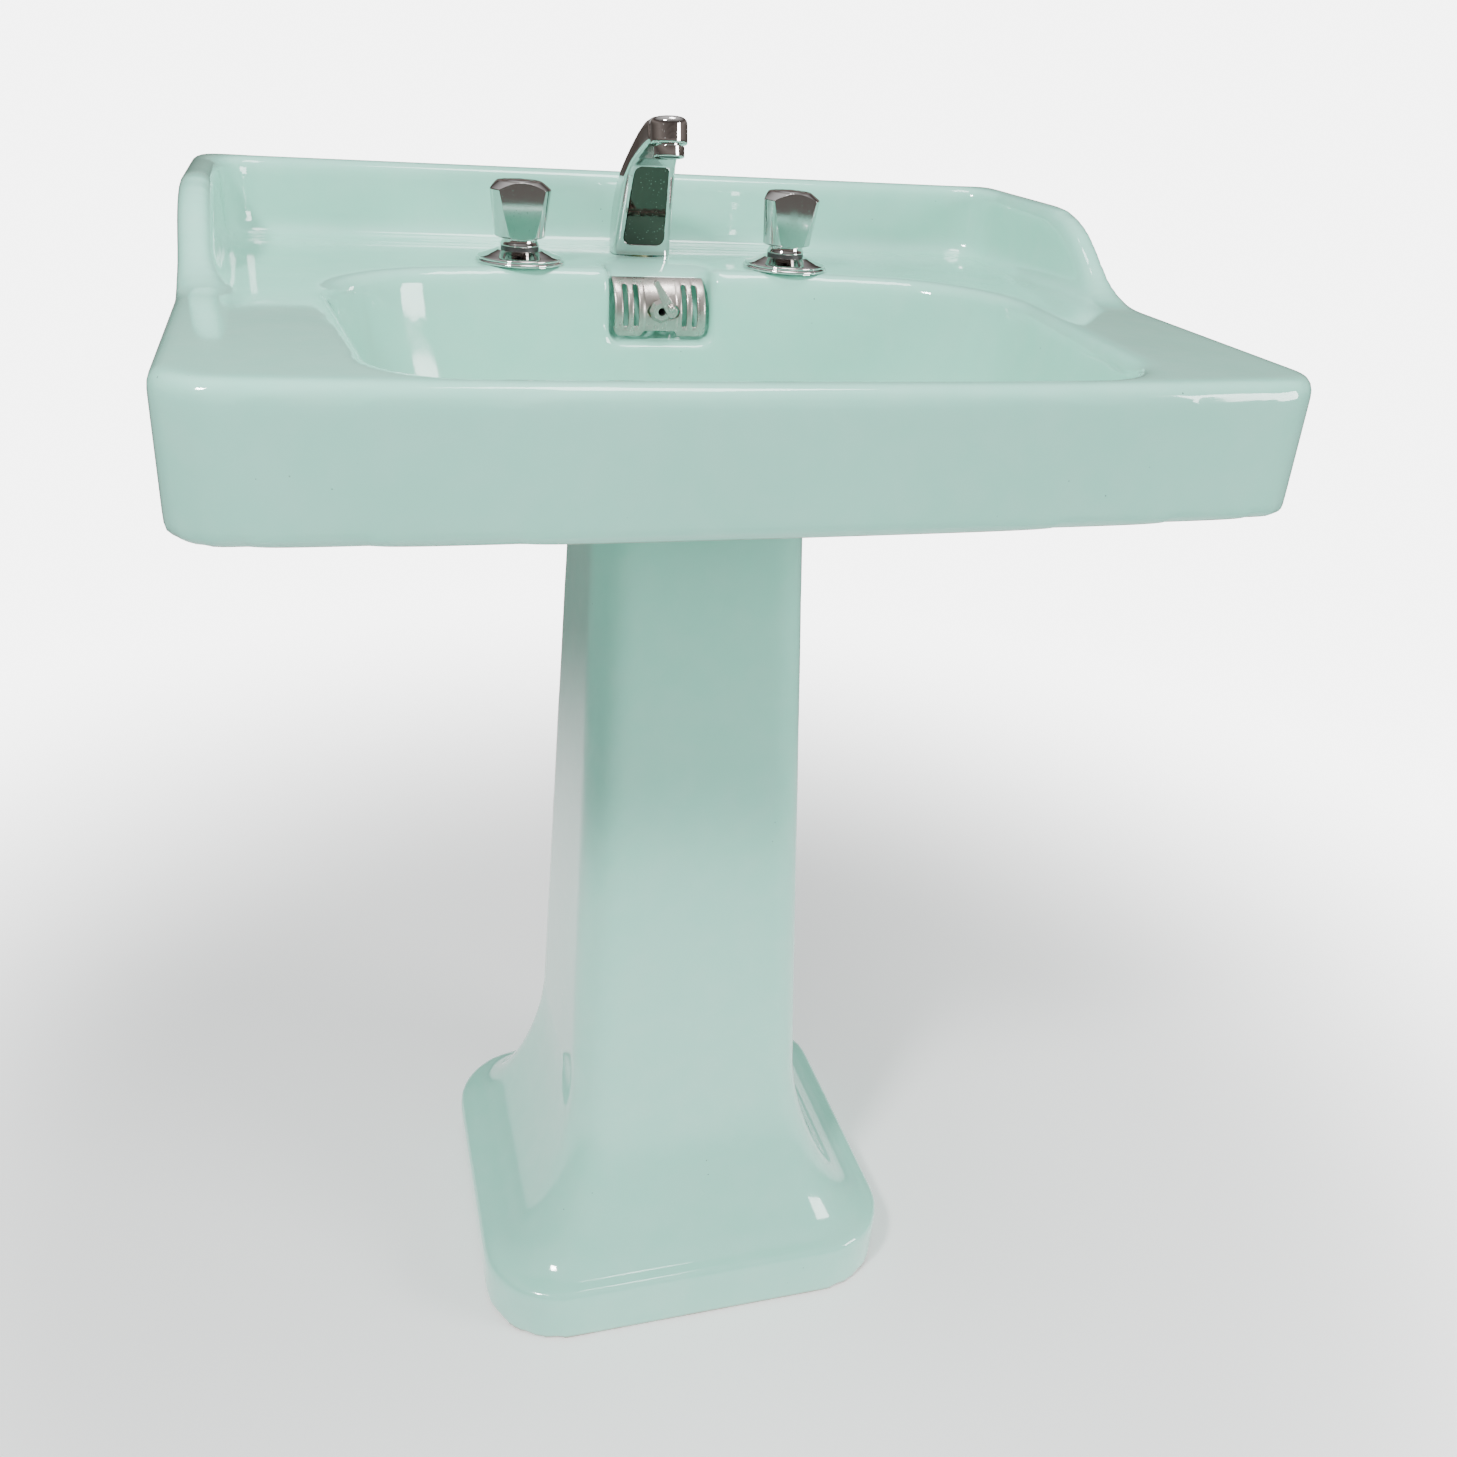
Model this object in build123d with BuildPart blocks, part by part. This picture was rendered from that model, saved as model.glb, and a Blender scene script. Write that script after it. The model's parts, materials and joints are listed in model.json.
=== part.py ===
"""Pedestal sink: glazed basin on a hollow pedestal, two taps, a spout and a pop-up waste.

Millimetres. The origin is on the floor, under the middle of the sink; +Z is up, +X is to
the right as the user stands in front, and the front of the basin faces -Y.
"""
import os
from math import asin, cos, degrees, radians, sin

from build123d import *

os.makedirs("parts", exist_ok=True)

# Basin
WIDTH = 700.0
BACK_Y = 267.5
FRONT_Y = -267.5
FRONT_CORNER_Y = -251.5          # the front bows out by 16 mm between its corners
FRONT_CORNER_RADIUS = 39.0
BACK_CORNER_RADIUS = 14.0
RIM_Z = 820.0
APRON_Z = 731.0
SPLASH_Z = 878.0
SPLASH_THICKNESS = 24.0
RIM_ROUNDING = 10.0
WALL = 14.0
BOWL_WALL = 12.0
ARM_TOP_END_Y = 125.5            # where each side arm starts to sweep down to the deck
ARM_CREST_RADIUS = 110.0
ARM_FOOT_RADIUS = 105.0
ARM_SLOPE = 36.0

# Drain and overflow
DRAIN_Y = -10.0
BOWL_FLOOR_Z = 684.0
DRAIN_HOLE_RADIUS = 23.0
NICHE_WIDTH = 82.0
NICHE_BACK_Y = 131.0
NICHE_FLOOR_Z = 768.0
NICHE_RAMP_Y = 168.0
LEVER_Z = 789.0
HOUSING_FRONT_Y = 146.0
OVERFLOW_Y = 161.0
WASTE_ARM_Z = 640.0
PLATE_WIDTH = 74.0
SOCKET = 8.0
BOSS_Y = 110.0
BLADE_Y = 103.2
AXLE = 3.0
CRANK = 6.0
CRANK_ANGLE = 30.0               # the crank starts this far above level and ends as far below
TUBE = 12.5
TUBE_BORE = 10.8
ROCKER_Y = 80.0
STEM = 3.0

# Taps and spout
TAP_X = 108.0
TAP_Y = 136.0
SPOUT_Y = 198.0
SPOUT_BASE_WIDTH = 47.0
SHANK_RADIUS = 12.0
SHANK_BORE = 8.0
PANEL_RECESS = 1.5
AERATOR_THREAD = 9.5
AERATOR_RADIUS = 11.6
AERATOR_BORE = 8.0
AERATOR_DROP = 9.0
FACET = 17.2                     # distance of the knobs' flat faces from their axis
SPINDLE = 5.0
SEAT_Z = 748.0
PIPE = 6.0
DECK_UNDERSIDE_Z = RIM_Z - WALL
CROSSOVER_Z = 757.0

# Pedestal
COLUMN_TOP_Z = 672.0
FLARE_TOP_Z = 185.0
FLARE_FULLNESS = 0.85           # below 1, the flare spreads sooner than an ellipse
PLINTH_Z = 50.0
PLINTH_WIDTH = 356.0
PLINTH_FRONT_Y = -191.0
PLINTH_BACK_Y = 128.0
PLINTH_CORNER_RADIUS = 68.0
COLUMN_BACK_Y = 83.5
COLUMN_CORNER_RADIUS = 28.0
CERAMIC = 12.0
PLINTH_ROUNDING = 5.0
FLARE_STEPS = 6
BACK_OPENING_X = 60.0

# Trap and supplies
TRAP_OUTLET_Z = 560.0
SUPPLY_X = 40.0
SUPPLY_Y = 86.0
SUPPLY_END_Z = 330.0

HALF = WIDTH / 2
FIT = 0.05                       # radial clearance of parts that screw or slide together
GAP = 0.3


def save(piece, name):
    """Label a finished piece and write it as a STEP file."""
    piece.part.label = name
    export_step(piece.part, f"parts/{name}.step")


def upright(x, y):
    """The XZ plane through (x, y), on which local y is height."""
    return Plane(origin=(x, y, 0), x_dir=(1, 0, 0), z_dir=(0, -1, 0))


def outline(plane, *points):
    """A face with straight sides on a plane."""
    with BuildSketch(plane) as sketch:
        with BuildLine():
            Polyline(*points, close=True)
        make_face()
    return sketch.sketch


def turn(x, y, *points, mode=Mode.ADD):
    """Revolve a closed outline of (radius, height) points about the vertical at (x, y)."""
    revolve(outline(upright(x, y), *points), axis=Axis((x, y, 0), (0, 0, 1)), mode=mode)


def ring(x, y, outer, inner, low, high, mode=Mode.ADD):
    """A plain tube or washer with a vertical axis."""
    turn(x, y, (inner, low), (outer, low), (outer, high), (inner, high), mode=mode)


def hex_nut(x, y, across_flats, bore, low, high):
    """A hexagon nut with a vertical axis."""
    with BuildSketch(Plane((x, y, low))) as sketch:
        RegularPolygon(across_flats / 2, 6, major_radius=False)
        Circle(bore, mode=Mode.SUBTRACT)
    extrude(sketch.sketch, amount=high - low)


# ---------------------------------------------------------------- basin
BOWL_LEVELS = (  # height, then how far the sides, the back and the front have closed in
    (RIM_Z, 0, 0, 0, 105, 57),
    (765, 9, 7, 14, 98, 54),
    (718, 24, 18, 80, 88, 52),
    (694, 56, 38, 150, 60, 46),
    (BOWL_FLOOR_Z, 112, 62, 172, 34, 32),
)


def bowl_solid(grow, mode):
    """Loft the bowl, or with grow the outside of its wall."""
    levels = []
    for z, side, back, front, back_radius, front_radius in BOWL_LEVELS:
        back_x, back_side_y, back_y = 262 - side + grow, 72 - back + grow, 112.5 - back + grow
        front_x, front_side_y, front_y = 234.6 - side + grow, -236 + front - grow, -241.5 + front - grow
        with BuildSketch(Plane.XY.offset(z - grow)) as level:
            with BuildLine():
                ThreePointArc((-back_x, back_side_y), (0, back_y), (back_x, back_side_y))
                Line((back_x, back_side_y), (front_x, front_side_y))
                ThreePointArc((front_x, front_side_y), (0, front_y), (-front_x, front_side_y))
                Line((-front_x, front_side_y), (-back_x, back_side_y))
            make_face()
            fillet(level.vertices().group_by(Axis.Y)[-1], back_radius + grow)
            fillet(level.vertices().group_by(Axis.Y)[0], front_radius + grow)
        levels.append(level.sketch)
    loft(levels, mode=mode)


def plan_outline(z, inset, front_radius, back_radius):
    """The basin seen from above, closed in by inset."""
    side = HALF - inset
    corner_y = FRONT_CORNER_Y + inset
    with BuildSketch(Plane.XY.offset(z)) as plan:
        with BuildLine():
            Polyline((-side, corner_y), (-side, BACK_Y - inset), (side, BACK_Y - inset), (side, corner_y))
            ThreePointArc((side, corner_y), (0, FRONT_Y + inset), (-side, corner_y))
        make_face()
        fillet(plan.vertices().group_by(Axis.Y)[0], front_radius)
        fillet(plan.vertices().group_by(Axis.Y)[-1], back_radius)
    return plan.sketch


with BuildPart() as pocket:
    # The space above the deck, inside the splashback, with a rounded foot.
    inner = HALF - SPLASH_THICKNESS
    with BuildSketch(Plane.XY.offset(RIM_Z)) as pocket_plan:
        with BuildLine():
            Polyline((-inner, -500), (inner, -500), (inner, 242.5), (-inner, 242.5), close=True)
        make_face()
        fillet(pocket_plan.vertices().group_by(Axis.Y)[-1], 30)
    extrude(amount=100)
    fillet(pocket.edges().group_by(Axis.Z)[0].sort_by(Axis.Y)[1:], 12)

with BuildPart() as basin:
    extrude(plan_outline(APRON_Z, 0, FRONT_CORNER_RADIUS, BACK_CORNER_RADIUS), amount=SPLASH_Z - APRON_Z)
    # Cut away all that stands in front of the swept side arms.
    arc_drop = (ARM_CREST_RADIUS + ARM_FOOT_RADIUS) * (1 - cos(radians(ARM_SLOPE)))
    straight = (SPLASH_Z - RIM_Z - arc_drop) / sin(radians(ARM_SLOPE))
    with BuildSketch(Plane.YZ):
        with BuildLine():
            crest = JernArc((ARM_TOP_END_Y, SPLASH_Z), (-1, 0), ARM_CREST_RADIUS, ARM_SLOPE)
            slope = Line(crest @ 1, (crest @ 1) + (crest % 1) * straight)
            foot = JernArc(slope @ 1, slope % 1, ARM_FOOT_RADIUS, -ARM_SLOPE)
            Polyline(foot @ 1, (-400, RIM_Z), (-400, 930), (ARM_TOP_END_Y, 930), crest @ 0)
        make_face()
    extrude(amount=HALF + 20, both=True, mode=Mode.SUBTRACT)
    add(pocket.part, mode=Mode.SUBTRACT)
    # Round the outer top edge all the way round.
    top_edges = basin.edges().filter_by(lambda e: e.bounding_box().min.Z > RIM_Z - 0.1)
    outer_edges = top_edges.filter_by(
        lambda e: min(abs(e.bounding_box().min.X), abs(e.bounding_box().max.X)) > HALF - 0.1
        or e.bounding_box().min.Y > BACK_Y - 15
        or e.bounding_box().max.Y < -200
    )
    fillet(outer_edges, RIM_ROUNDING)
    # Hollow the underside, then put the bowl and the block behind the overflow back in.
    hollow = plan_outline(APRON_Z, WALL, FRONT_CORNER_RADIUS - WALL, 4)
    extrude(hollow, amount=DECK_UNDERSIDE_Z - APRON_Z, mode=Mode.SUBTRACT)
    bowl_solid(BOWL_WALL, Mode.ADD)
    with BuildSketch(Plane.XY.offset(NICHE_FLOOR_Z - 12)):
        with Locations((0, 118)):
            Rectangle(NICHE_WIDTH + 24, 2 * (HOUSING_FRONT_Y - 118))
    extrude(amount=DECK_UNDERSIDE_Z - NICHE_FLOOR_Z + 12)
    bowl_solid(0, Mode.SUBTRACT)
    fillet(basin.edges().filter_by(
        lambda e: abs(e.center().Z - RIM_Z) < 0.1 and e.bounding_box().max.Y < 114
        and e.bounding_box().min.Y > -242 and abs(e.center().X) < 270
    ), RIM_ROUNDING)
    # Overflow niche: a ramp down from the deck, then a recess for the plate.
    with BuildSketch(Plane.YZ) as niche:
        with BuildLine():
            ramp = ThreePointArc((NICHE_RAMP_Y, RIM_Z), (148, 817.4), (NICHE_BACK_Y, 811))
            Polyline(ramp @ 1, (NICHE_BACK_Y, NICHE_FLOOR_Z), (80, NICHE_FLOOR_Z - 8), (80, 840),
                     (NICHE_RAMP_Y, 840), ramp @ 0)
        make_face()
    extrude(amount=NICHE_WIDTH / 2, both=True, mode=Mode.SUBTRACT)
    # Holes for the taps, the spout, the lever's axle, the drain and the wall bolts.
    with Locations((-TAP_X, TAP_Y, RIM_Z), (TAP_X, TAP_Y, RIM_Z)):
        Hole(14, depth=WALL + 2)
    with Locations((0, SPOUT_Y, RIM_Z)):
        Hole(15, depth=WALL + 2)
    with Locations((0, DRAIN_Y, BOWL_FLOOR_Z)):
        Hole(DRAIN_HOLE_RADIUS, depth=2 * BOWL_WALL)
        CounterSinkHole(DRAIN_HOLE_RADIUS, 33.5, depth=2 * BOWL_WALL, counter_sink_angle=150)
    with BuildSketch(Plane.XZ.offset(-HOUSING_FRONT_Y - 2)):
        with Locations((0, LEVER_Z)):
            Circle(12)
    extrude(amount=20, mode=Mode.SUBTRACT)
    with BuildSketch(Plane.XZ.offset(-BACK_Y - 2)):
        with Locations((-140, 770), (140, 770)):
            Circle(7)
    extrude(amount=WALL + 6, mode=Mode.SUBTRACT)
save(basin, "basin")


# ---------------------------------------------------------------- pedestal
def column_at(z):
    """Half-width and front Y of the column, which widens downwards."""
    below = APRON_Z - z
    return 78 + below * 22 / 581, -55.5 - below * 65 / 581


def pedestal_section(z, half_width, front_y, back_y, radius):
    """A rounded rectangle across the pedestal."""
    with BuildSketch(Plane((0, (front_y + back_y) / 2, z))) as section:
        RectangleRounded(2 * half_width, back_y - front_y, radius)
    return section.sketch


def column_section(z, inset):
    half_width, front_y = column_at(z)
    return pedestal_section(z, half_width - inset, front_y + inset, COLUMN_BACK_Y - inset,
                            COLUMN_CORNER_RADIUS - inset)


def flare_sections(inset):
    """Sections that sweep out in a curve from the column to the plinth's edge."""
    sections = []
    for step in range(FLARE_STEPS + 1):
        angle = radians(90 * step / FLARE_STEPS)
        spread = (1 - cos(angle)) ** FLARE_FULLNESS
        z = FLARE_TOP_Z - (FLARE_TOP_Z - PLINTH_Z) * sin(angle)
        half_width, front_y = column_at(z)
        half_width += spread * (PLINTH_WIDTH / 2 - PLINTH_ROUNDING - half_width)
        front_y += spread * (PLINTH_FRONT_Y + PLINTH_ROUNDING - front_y)
        back_y = COLUMN_BACK_Y + spread * (PLINTH_BACK_Y - PLINTH_ROUNDING - COLUMN_BACK_Y)
        radius = COLUMN_CORNER_RADIUS + spread * (PLINTH_CORNER_RADIUS - PLINTH_ROUNDING - COLUMN_CORNER_RADIUS)
        sections.append(pedestal_section(z - inset, half_width - inset, front_y + inset,
                                         back_y - inset, radius - inset))
    return sections


def plinth_section(z, inset):
    return pedestal_section(z, PLINTH_WIDTH / 2 - inset, PLINTH_FRONT_Y + inset,
                            PLINTH_BACK_Y - inset, PLINTH_CORNER_RADIUS - inset)


with BuildPart() as pedestal:
    extrude(plinth_section(0, 0), amount=PLINTH_Z)
    fillet(pedestal.edges().group_by(Axis.Z)[-1], PLINTH_ROUNDING)
    loft(flare_sections(0))
    loft([column_section(FLARE_TOP_Z, 0), column_section(COLUMN_TOP_Z, 0)], ruled=True)
    # Hollow inside, and open at the back for the pipes.
    extrude(plinth_section(0, CERAMIC), amount=PLINTH_Z - CERAMIC, mode=Mode.SUBTRACT)
    loft(flare_sections(CERAMIC), mode=Mode.SUBTRACT)
    loft([column_section(FLARE_TOP_Z - CERAMIC, CERAMIC), column_section(COLUMN_TOP_Z, CERAMIC)],
         ruled=True, mode=Mode.SUBTRACT)
    with BuildSketch():
        with Locations((0, 130)):
            Rectangle(2 * BACK_OPENING_X, 140)
    extrude(amount=COLUMN_TOP_Z, mode=Mode.SUBTRACT)
save(pedestal, "pedestal")


# ---------------------------------------------------------------- spout
SPOUT_FOOT_Z = RIM_Z + 0.8
HEAD_TOP = Vector(0, 111.5, 929.5)
HEAD_TILT = 12.0
HEAD_RADIUS = 14.0
HEAD_LENGTH = 19.0
head_up = Vector(0, sin(radians(HEAD_TILT)), cos(radians(HEAD_TILT)))
head_plane = Plane(HEAD_TOP, x_dir=(1, 0, 0), z_dir=head_up)
panel_plane = Plane((0, 170, 860), x_dir=(1, 0, 0), z_dir=(0, -60, -21))



def panel_face(inset):
    """The mirror panel: a rounded strip, wider at its foot."""
    with BuildSketch() as panel:
        with BuildLine():
            Polyline((-17 + inset, -33 + inset), (17 - inset, -33 + inset), (13.5 - inset, 33 - inset),
                     (-13.5 + inset, 33 - inset), close=True)
        make_face()
        fillet(panel.vertices(), 6)
    return panel.sketch


with BuildPart() as spout_body:
    # The side view, then the front view, which narrows upwards.
    with BuildSketch(Plane.YZ):
        with BuildLine():
            front_line = FilletPolyline((182.5, SPOUT_FOOT_Z), (180.5, 830), (159.5, 890), (117, 912),
                                        radius=(12, 22))
            back_line = FilletPolyline((117, 929), (150, 917), (213, 877), (226, 845), (222, SPOUT_FOOT_Z),
                                       radius=(60, 30, 30))
            Line(front_line @ 1, back_line @ 0)
            Line(back_line @ 1, front_line @ 0)
        make_face()
    extrude(amount=30, both=True)
    with BuildSketch(Plane.XZ.offset(-170)):
        with BuildLine():
            flank = FilletPolyline((24.5, SPOUT_FOOT_Z), (23, 858), (20, 886), (14.2, 910), (13.9, 935),
                                   radius=(60, 40, 20))
            other = FilletPolyline((-24.5, SPOUT_FOOT_Z), (-23, 858), (-20, 886), (-14.2, 910),
                                   (-13.9, 935), radius=(60, 40, 20))
            Line(flank @ 0, other @ 0)
            Line(flank @ 1, other @ 1)
        make_face()
    extrude(amount=120, both=True, mode=Mode.INTERSECT)
    # Outlet head, a short tilted cylinder.
    with BuildSketch(head_plane):
        Circle(HEAD_RADIUS)
    extrude(amount=-HEAD_LENGTH)
    fillet(spout_body.edges().filter_by(GeomType.CIRCLE).sort_by(Axis.Z)[-1], 4)
    # Recess for the mirror panel.
    with BuildSketch(panel_plane) as panel_recess:
        add(panel_face(0))
    extrude(amount=-PANEL_RECESS, mode=Mode.SUBTRACT)
    extrude(panel_recess.sketch, amount=10, mode=Mode.SUBTRACT)
    # Waterway: up from the shank, then forward to the head; the head holds the aerator.
    with BuildSketch(Plane((0, SPOUT_Y, SPOUT_FOOT_Z - 1))):
        Circle(SHANK_RADIUS + FIT)
    extrude(amount=12, mode=Mode.SUBTRACT)
    with BuildSketch(Plane((0, SPOUT_Y, SPOUT_FOOT_Z))):
        Circle(SHANK_BORE)
    extrude(amount=56, mode=Mode.SUBTRACT)
    with BuildSketch(Plane((0, SPOUT_Y, 875), x_dir=(1, 0, 0), z_dir=(0, -86, 45.6))):
        Circle(4)
    extrude(amount=97, mode=Mode.SUBTRACT)
    with BuildSketch(head_plane.offset(-HEAD_LENGTH)):
        Circle(AERATOR_THREAD + FIT)
    extrude(amount=12, mode=Mode.SUBTRACT)
save(spout_body, "spout_body")

with BuildPart() as spout_panel:
    with BuildSketch(panel_plane.offset(-PANEL_RECESS)):
        add(panel_face(0.15))
    extrude(amount=PANEL_RECESS - 0.3)
save(spout_panel, "spout_panel")

with BuildPart() as aerator_housing:
    with BuildSketch(head_plane.offset(-HEAD_LENGTH)):
        Circle(AERATOR_THREAD)
    extrude(amount=9)
    with BuildSketch(head_plane.offset(-HEAD_LENGTH)):
        Circle(AERATOR_RADIUS)
    extrude(amount=-AERATOR_DROP)
    fillet(aerator_housing.edges().filter_by(GeomType.CIRCLE).sort_by(Axis.Z)[0], 0.8)
    with BuildSketch(head_plane.offset(-HEAD_LENGTH - AERATOR_DROP - 1)):
        Circle(AERATOR_BORE)
    extrude(amount=30, mode=Mode.SUBTRACT)
save(aerator_housing, "aerator_housing")

with BuildPart() as aerator_insert:
    with BuildSketch(head_plane.offset(-HEAD_LENGTH - AERATOR_DROP + 2)):
        Circle(AERATOR_BORE - FIT)
        with PolarLocations(5, 8):
            Circle(1.1, mode=Mode.SUBTRACT)
        with PolarLocations(2, 3):
            Circle(0.9, mode=Mode.SUBTRACT)
    extrude(amount=4)
save(aerator_insert, "aerator_insert")

with BuildPart() as spout_gasket:
    with BuildSketch(Plane((0, 202.2, RIM_Z))):
        RectangleRounded(SPOUT_BASE_WIDTH - 5, 34, 6)
    extrude(amount=SPOUT_FOOT_Z - RIM_Z)
    with BuildSketch(Plane((0, SPOUT_Y, RIM_Z))):
        Circle(SHANK_RADIUS + FIT)
    extrude(amount=2, mode=Mode.SUBTRACT)
save(spout_gasket, "spout_gasket")

with BuildPart() as spout_shank:
    ring(0, SPOUT_Y, SHANK_RADIUS, SHANK_BORE, 764, 831.5)
save(spout_shank, "spout_shank")

with BuildPart() as spout_washer:
    ring(0, SPOUT_Y, 19, SHANK_RADIUS + FIT, 803, DECK_UNDERSIDE_Z)
save(spout_washer, "spout_washer")

with BuildPart() as spout_locknut:
    hex_nut(0, SPOUT_Y, 32, SHANK_RADIUS + FIT, 792, 803)
save(spout_locknut, "spout_locknut")


# ---------------------------------------------------------------- taps
def side_plane(x, y, toward_x, toward_y, distance):
    """A plane at CROSSOVER_Z that faces from (x, y) to another point, some way along."""
    direction = Vector(toward_x - x, toward_y - y, 0).normalized()
    return Plane(Vector(x, y, CROSSOVER_Z) + direction * distance, z_dir=direction)


def side_outlet(x, y, toward_x, toward_y, inner, outer):
    """A stub pipe on a body at (x, y), pointing at another point."""
    with BuildSketch(side_plane(x, y, toward_x, toward_y, inner)) as stub:
        Circle(9)
    extrude(stub.sketch, amount=outer - inner)
    with BuildSketch(side_plane(x, y, toward_x, toward_y, inner - 5)) as bore:
        Circle(PIPE + FIT)
    extrude(bore.sketch, amount=outer - inner + 6, mode=Mode.SUBTRACT)


with BuildPart() as spout_tee:
    turn(0, SPOUT_Y, (0, 744), (15.5, 744), (15.5, 782), (SHANK_RADIUS + FIT, 782),
         (SHANK_RADIUS + FIT, 764), (8, 764), (8, 749), (0, 749))
    for side in (-1, 1):
        side_outlet(0, SPOUT_Y, side * TAP_X, TAP_Y, 12, 27)
save(spout_tee, "spout_tee")

for side, x in (("hot", -TAP_X), ("cold", TAP_X)):
    with BuildPart() as knob:
        turn(x, TAP_Y, (SPINDLE + FIT, 838.5), (17.6, 838.5), (19.5, 840.8), (24.3, 874), (15.6, 878.6),
             (13.6, 878.6), (13.3, 878.2), (13.3, 876.4), (4.4, 876.4), (4.4, 872), (2.3, 872),
             (2.3, 864), (SPINDLE + FIT, 864))
        # Three flat faces, one of them towards the user.
        with BuildSketch(Plane((x, TAP_Y, 838))):
            with PolarLocations(FACET + 10, 3, start_angle=-90):
                Rectangle(20, 60)
        extrude(amount=45, mode=Mode.SUBTRACT)
    save(knob, f"knob_{side}")

    with BuildPart() as index_cap:
        turn(x, TAP_Y, (0, 876.5), (13.1, 876.5), (13.1, 878.2), (9, 879.3), (4, 879.9), (0, 880))
    save(index_cap, f"index_cap_{side}")

    with BuildPart() as knob_screw:
        turn(x, TAP_Y, (0, 854), (2.0, 854), (2.0, 872.1), (4.1, 872.1), (4.1, 875.6), (0, 875.6))
        with BuildSketch(Plane((x, TAP_Y, 875.6))):
            Rectangle(7, 1)
        extrude(amount=-1.2, mode=Mode.SUBTRACT)
    save(knob_screw, f"knob_screw_{side}")

    with BuildPart() as spindle:
        turn(x, TAP_Y, (0, 776), (SPINDLE, 776), (SPINDLE, 863.7), (2.05, 863.7), (2.05, 853), (0, 853))
    save(spindle, f"spindle_{side}")

    with BuildPart() as tap_neck:
        turn(x, TAP_Y, (SPINDLE + FIT, 800), (8.95, 800), (8.95, 832), (15, 832), (15, 834.2), (13.8, 838),
             (SPINDLE + FIT, 838))
    save(tap_neck, f"tap_neck_{side}")

    with BuildPart() as gland_ring:
        ring(x, TAP_Y, 14.6, 9, 829.5, 832)
    save(gland_ring, f"gland_ring_{side}")

    with BuildPart() as escutcheon:
        turn(x, TAP_Y, (13.1, RIM_Z), (34.3, RIM_Z), (34.3, 823.2), (33.3, 824.3), (30, 824.9),
             (27, 825.6), (18, 829.2), (17, 829.5), (13.1, 829.5))
    save(escutcheon, f"escutcheon_{side}")

    with BuildPart() as valve_body:
        turn(x, TAP_Y, (9, 829.4), (13, 829.4), (13, 770), (17, 768), (17, 741), (14, 738), (10, 738),
             (10, 712), (5.5, 712), (5.5, SEAT_Z), (9, SEAT_Z))
        side_outlet(x, TAP_Y, 0, SPOUT_Y, 12, 30)
    save(valve_body, f"valve_body_{side}")

    with BuildPart() as jumper:
        turn(x, TAP_Y, (0, SEAT_Z + 4), (8.6, SEAT_Z + 4), (8.6, SEAT_Z + 8), (3, SEAT_Z + 9),
             (3, 770), (0, 770))
    save(jumper, f"jumper_{side}")

    with BuildPart() as seat_washer:
        ring(x, TAP_Y, 8, 1.5, SEAT_Z + GAP, SEAT_Z + 4)
    save(seat_washer, f"seat_washer_{side}")

    turn_in = 1 if x > 0 else -1
    with BuildPart() as supply_tail:
        with BuildLine() as route:
            FilletPolyline((x, TAP_Y, 722), (x, TAP_Y, 684), (turn_in * SUPPLY_X, SUPPLY_Y, 640),
                           (turn_in * SUPPLY_X, SUPPLY_Y, SUPPLY_END_Z), radius=30)
        with BuildSketch(Plane((x, TAP_Y, 722), z_dir=(0, 0, -1))):
            Circle(5)
            Circle(4, mode=Mode.SUBTRACT)
        sweep(path=route.wire())
    save(supply_tail, f"supply_tail_{side}")

    reach = Vector(x, TAP_Y - SPOUT_Y, 0).length
    with BuildPart() as crossover_pipe:
        with BuildSketch(side_plane(x, TAP_Y, 0, SPOUT_Y, 21)):
            Circle(PIPE)
            Circle(PIPE - 1, mode=Mode.SUBTRACT)
        extrude(amount=reach - 21 - 18)
    save(crossover_pipe, f"crossover_pipe_{side}")

with BuildPart() as deck_gaskets:
    for x in (-TAP_X, TAP_X):
        ring(x, TAP_Y, 17.5, 13.05, 803.5, DECK_UNDERSIDE_Z)
save(deck_gaskets, "deck_gaskets")

with BuildPart() as backing_nuts:
    for x in (-TAP_X, TAP_X):
        hex_nut(x, TAP_Y, 34, 13.05, 794, 803.5)
save(backing_nuts, "backing_nuts")

with BuildPart() as supply_nuts:
    for x in (-TAP_X, TAP_X):
        hex_nut(x, TAP_Y, 22, 5.05, 703, 712)
save(supply_nuts, "supply_nuts")

with BuildPart() as crossover_nuts:
    for x in (-TAP_X, TAP_X):
        for plane in (side_plane(x, TAP_Y, 0, SPOUT_Y, 30), side_plane(0, SPOUT_Y, x, TAP_Y, 27)):
            with BuildSketch(plane):
                RegularPolygon(10, 6, major_radius=False)
                Circle(PIPE + FIT, mode=Mode.SUBTRACT)
            extrude(amount=9)
save(crossover_nuts, "crossover_nuts")


# ---------------------------------------------------------------- overflow and lever
def plate_profile(low):
    """Side view of the overflow plate: a bulging strip, two millimetres thick."""
    with BuildSketch(Plane.YZ) as profile:
        with BuildLine():
            face = ThreePointArc((129.2, 812), (113.2, 797), (114.5, low))
            rear = ThreePointArc((130.4, 809.5), (115.3, 796.5), (116.5, low))
            Line(face @ 0, rear @ 0)
            Line(face @ 1, rear @ 1)
        make_face()
    return profile.sketch


with BuildPart() as overflow_plate:
    extrude(plate_profile(768.6), amount=PLATE_WIDTH / 2, both=True)
    # Two rounded feet with a shallow gap between them.
    with BuildSketch(Plane.XZ.offset(-135)):
        with BuildLine():
            edge = FilletPolyline((-37, 830), (-37, 768.6), (-15, 768.6), (-12.5, 773), (12.5, 773),
                                  (15, 768.6), (37, 768.6), (37, 830),
                                  radius=(6, 2.5, 2.5, 2.5, 2.5, 6))
            Line(edge @ 1, edge @ 0)
        make_face()
    extrude(amount=40, mode=Mode.INTERSECT)
    with BuildSketch(Plane.XZ.offset(-135)):
        with Locations((-28, 792), (-19.5, 792), (19.5, 792), (28, 792)):
            SlotCenterToCenter(27, 3.8, rotation=90)
        with Locations((0, LEVER_Z)):
            Circle(SOCKET)
    extrude(amount=40, mode=Mode.SUBTRACT)
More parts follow.
